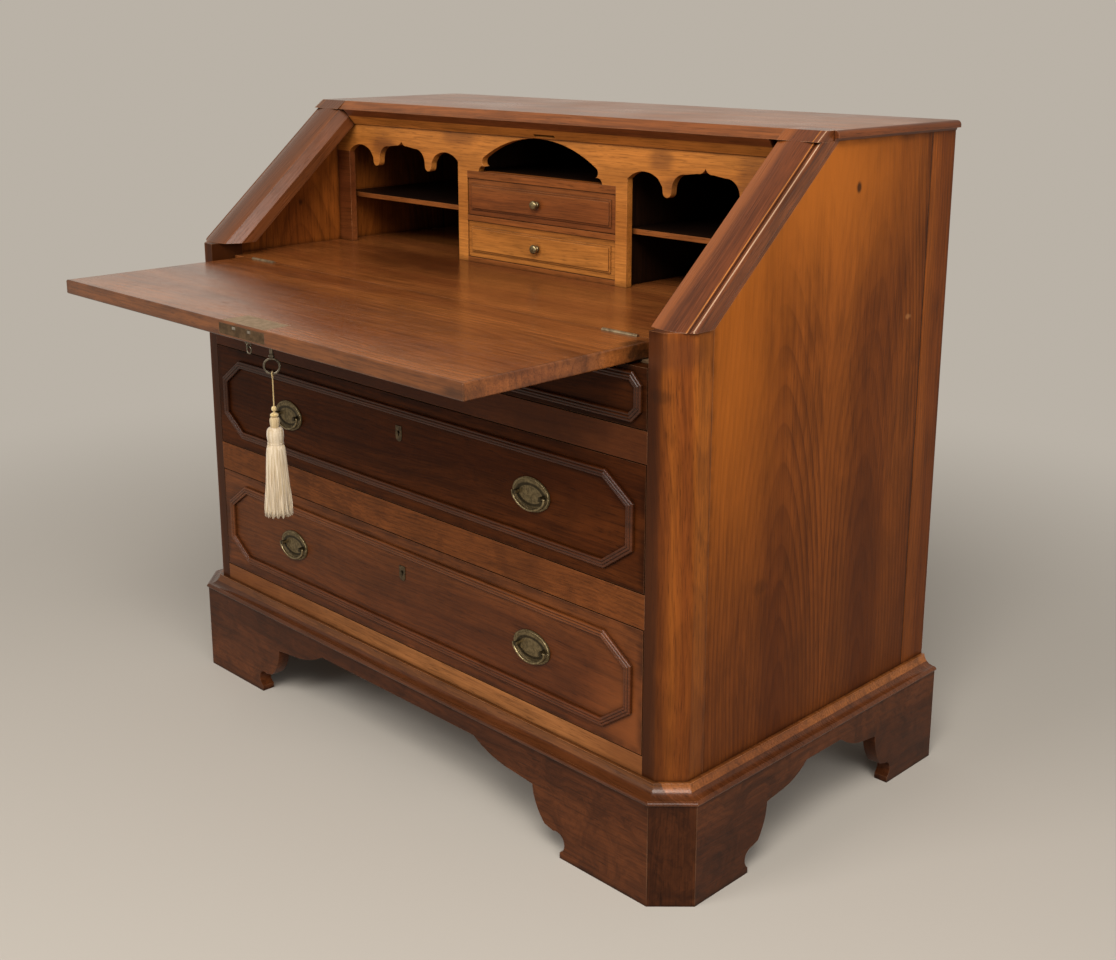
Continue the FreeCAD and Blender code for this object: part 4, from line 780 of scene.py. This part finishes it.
# Darker along the cusped lower edges of the valances.
FASCIA_MARKS = (((-0.385, 0.12, 0.925), (0.050, 0.05, 0.026), VALANCE_EDGE_DARK, 0.65),
                ((-0.190, 0.12, 0.950), (0.060, 0.05, 0.020), VALANCE_EDGE_DARK, 0.50),
                ((0.255, 0.12, 0.942), (0.032, 0.05, 0.026), VALANCE_EDGE_DARK, 0.50),
                ((0.330, 0.12, 0.905), (0.110, 0.05, 0.026), VALANCE_EDGE_DARK, 0.55),
                ((0.425, 0.12, 0.925), (0.040, 0.05, 0.040), VALANCE_EDGE_DARK, 0.45))
END_STRIP, END_TOP = 0.4595, 0.9105
paint(wood("golden_fascia", "X", "Y", GOLD, box_of("gallery_fascia"), True, ring=0.008, pith=0.90, depth=0.03,
           contrast=0.45, edge=0.006, wear=0.4, gloss=0.36, level=0.20, marks=FASCIA_MARKS,
           zones=(({"X": (END_STRIP, 1.0), "Z": (0.0, END_TOP)}, STILE),)), "gallery_fascia")
# The shelves, uprights and back are near black inside the pigeonholes, a painted shade.
SHELF_LIP = 0.008
paint(wood("golden_shelves", "X", "Z", PIGEONHOLE_SHADE, ring=0.008, pith=0.3, gloss=0.42, level=0.15,
           zones=(({"Y": (0.0, fascia_rear + SHELF_LIP)}, RED),)), "gallery_shelves")
paint(wood("walnut_uprights", "Z", "X", PIGEONHOLE_SHADE, pair=True, ring=0.008, pith=0.3, gloss=0.45, level=0.15),
      "gallery_uprights")
paint(wood("walnut_small_upper", "X", "Y", RED, box_of("small_upper_front"), ring=0.007, pith=0.855,
           depth=0.02, contrast=0.6, edge=0.005, wear=0.5, gloss=0.34, level=0.20), "small_upper_front")
paint(wood("golden_small_lower", "X", "Y", toned(GOLD, 0.88), box_of("small_lower_front"), ring=0.007,
           pith=0.785, depth=0.03, contrast=0.5, edge=0.005, wear=0.5, gloss=0.34, level=0.20),
      "small_lower_front")
paint(wood("back_wood", "Z", "Y", PIGEONHOLE_SHADE, ring=0.010, pith=0.1, taper=0.08, gloss=0.60, level=0.15,
           zones=(({"Y": (box_of("back_boards")[1][1] - SEAM_HALF, BEHIND)}, BACK),)), "back_boards")
paint(wood("plain_frame", "X", "Z", PLAIN, ring=0.007, pith=0.2, gloss=0.62), "fall_rail", "base_rear_rail",
      "rear_brackets", "glue_blocks")
paint(wood("plain_case", "X", "Z", PLAIN, ring=0.009, pith=0.1, taper=0.06, gloss=0.62), "bottom_board",
      "drawer_1_box", "drawer_2_box", "drawer_3_box", "small_upper_box", "small_lower_box")
paint(wood("plain_runners", "Y", "Z", PLAIN, ring=0.007, pith=0.3, gloss=0.62), "drawer_runners")

# Brass and thread

PULL_BRIGHT, PULL_DULL = (0.240, 0.180, 0.090), (0.120, 0.089, 0.044)
rim_brass = brass("brass_rims", (0.340, 0.265, 0.140), (0.150, 0.112, 0.056), 200.0, 0.34)
# The lock plate's top face takes a painted sheen.
plate_brass = brass("brass_lock_plate", (0.185, 0.110, 0.053), (0.095, 0.056, 0.027), 110.0, 0.46,
                    (box_of("fall_board")[1][2], (0.500, 0.350, 0.210)))
lock_brass = brass("brass_locks", (0.150, 0.105, 0.055), (0.060, 0.042, 0.024), 160.0, 0.46)
hinge_brass = brass("brass_hinges", (0.46, 0.34, 0.20), (0.20, 0.135, 0.075), 120.0, 0.38)
key_brass = brass("brass_key", (0.24, 0.20, 0.14), (0.070, 0.058, 0.040), 160.0, 0.34)
bolt_steel = brass("steel_bolt", (0.52, 0.45, 0.36), (0.26, 0.21, 0.16), 140.0, 0.34)
knob_brass = brass("brass_knobs", (0.36, 0.28, 0.14), (0.16, 0.120, 0.060), 240.0, 0.32)
paint(rim_brass, "drawer_2_bail_left", "drawer_2_bail_right", "drawer_3_bail_left", "drawer_3_bail_right")
paint(plate_brass, "fall_lock")
paint(lock_brass, "fall_escutcheon", "drawer_1_lock", "drawer_2_lock", "drawer_3_lock")
paint(hinge_brass, "bed_hinges", "fall_hinges")
paint(key_brass, "key", "fall_ring", "ring_eye")
paint(bolt_steel, "lock_bolt")
paint(knob_brass, "small_upper_knob", "small_lower_knob")
cream = thread("cream_thread", (0.66, 0.55, 0.40), (0.46, 0.34, 0.20))
gold = thread("gold_thread", (0.70, 0.55, 0.28), (0.45, 0.31, 0.12))
tan = thread("tan_thread", (0.60, 0.46, 0.26), (0.42, 0.30, 0.15))
paint(gold, "key_cord")
paint(cream, "tassel_head", "tassel_skirt")
for piece, material in ((key_cord, gold), (gold_beads, gold), (collar, tan), (head, cream), (tie, cream),
                        (skirt, cream)):
    piece.data.materials.append(material)

# Pressed ridges on the oval pulls: a rim, a bead inside it and a fine line round the middle

PULL_AT = 0.287
PLATE_THICK = 0.0015
RIDGE_STEPS = 73
RIDGES = ((0.0338, 0.0222, 0.0010), (0.0312, 0.0196, 0.0005), (0.0215, 0.0118, 0.0008))
for number in (2, 3):
    drawer = "drawer_%d" % number
    low, high = box_of(drawer + "_pull_plates")
    middle = (low[2] + high[2]) / 2
    face = box_of(drawer + "_front")[0][1] - PLATE_THICK
    paint(brass("brass_pulls_%d" % number, PULL_BRIGHT, PULL_DULL, 240.0, 0.40,
                well=(PULL_AT, middle, *RIDGES[2][:2])), drawer + "_pull_plates")
    for side, name in ((-1, "left"), (1, "right")):
        ridges = Shape()
        for half_width, half_height, radius in RIDGES:
            ridges.tube([(side * PULL_AT + x, face, middle + z)
                         for x, z in oval(half_width, half_height, RIDGE_STEPS)], radius)
        mesh_piece("%s_ridges_%s" % (drawer, name), ridges, drawer, rim_brass)


# Light, floor and background

PALE = (0.49, 0.445, 0.385)
SURROUND, SURROUND_STRENGTH = (1.0, 0.97, 0.94), 0.20


def lamp(name, at, aim, size, power, colour=(1, 1, 1)):
    """A soft rectangular light, aimed at a point."""
    data = bpy.data.lights.new(name, "AREA")
    data.shape = "RECTANGLE"
    data.size, data.size_y = size
    data.energy = power
    data.color = colour
    light = bpy.data.objects.new(name, data)
    light.location = at
    light.rotation_mode = "QUATERNION"
    light.rotation_quaternion = (Vector(aim) - Vector(at)).to_track_quat("-Z", "Y")
    light.visible_camera = False
    scene.collection.objects.link(light)


lamp("key_light", (1.9, -2.2, 3.4), (0.1, 0.0, 0.7), (2.0, 2.0), 140, (1.0, 0.97, 0.93))
lamp("front_light", (-0.5, -3.1, 2.4), (0.0, 0.1, 0.8), (1.4, 1.4), 50)
lamp("side_light", (3.2, -1.0, 1.7), (0.3, 0.1, 0.65), (1.6, 1.6), 40)
lamp("sheen_light", (-3.0, 2.2, 1.35), (0.0, 0.1, 0.9), (4.5, 1.6), 6, (1.0, 0.91, 0.80))


def seen_share(tree):
    """One for rays from the camera, a reflection or glass, so that these see the pale surround."""
    path = tree.nodes.new("ShaderNodeLightPath")
    share = path.outputs["Is Camera Ray"]
    for ray in ("Is Glossy Ray", "Is Transmission Ray"):
        either = tree.nodes.new("ShaderNodeMath")
        either.operation = "MAXIMUM"
        tree.links.new(share, either.inputs[0])
        tree.links.new(path.outputs[ray], either.inputs[1])
        share = either.outputs[0]
    return share


world = bpy.data.worlds.new("studio")
scene.world = world
world.use_nodes = True
tree = world.node_tree
tree.nodes.clear()
surround = tree.nodes.new("ShaderNodeBackground")
surround.inputs["Color"].default_value = (*SURROUND, 1)
surround.inputs["Strength"].default_value = SURROUND_STRENGTH
backdrop = tree.nodes.new("ShaderNodeBackground")
backdrop.inputs["Color"].default_value = (*PALE, 1)
choice = tree.nodes.new("ShaderNodeMixShader")
result = tree.nodes.new("ShaderNodeOutputWorld")
tree.links.new(seen_share(tree), choice.inputs[0])
tree.links.new(surround.outputs[0], choice.inputs[1])
tree.links.new(backdrop.outputs[0], choice.inputs[2])
tree.links.new(choice.outputs[0], result.inputs["Surface"])

FLOOR_REACH, FADE_NEAR, FADE_FAR = 40.0, 0.8, 2.4
floor_points = [(FLOOR_REACH * x, FLOOR_REACH * y, 0) for x, y in ((-1, -1), (1, -1), (1, 1), (-1, 1))]
floor_mesh = bpy.data.meshes.new("floor")
floor_mesh.from_pydata(floor_points, [], [(0, 1, 2, 3)])
floor = bpy.data.objects.new("floor", floor_mesh)
scene.collection.objects.link(floor)
ground = Shader("pale_floor")
ground.set(Base_Color=PALE, Roughness=0.9)
x, y, _ = ground.split(ground.place())
far = ground.times(ground.smooth(ground.length(x, y), FADE_NEAR, FADE_FAR), seen_share(ground.tree))
glow = ground.add("ShaderNodeEmission")
glow.inputs["Color"].default_value = (*PALE, 1)
blend = ground.add("ShaderNodeMixShader")
ground.tree.links.new(far, blend.inputs[0])
ground.tree.links.new(ground.surface.outputs[0], blend.inputs[1])
ground.tree.links.new(glow.outputs[0], blend.inputs[2])
ground.tree.links.new(blend.outputs[0], ground.output.inputs["Surface"])
floor_mesh.materials.append(ground.material)
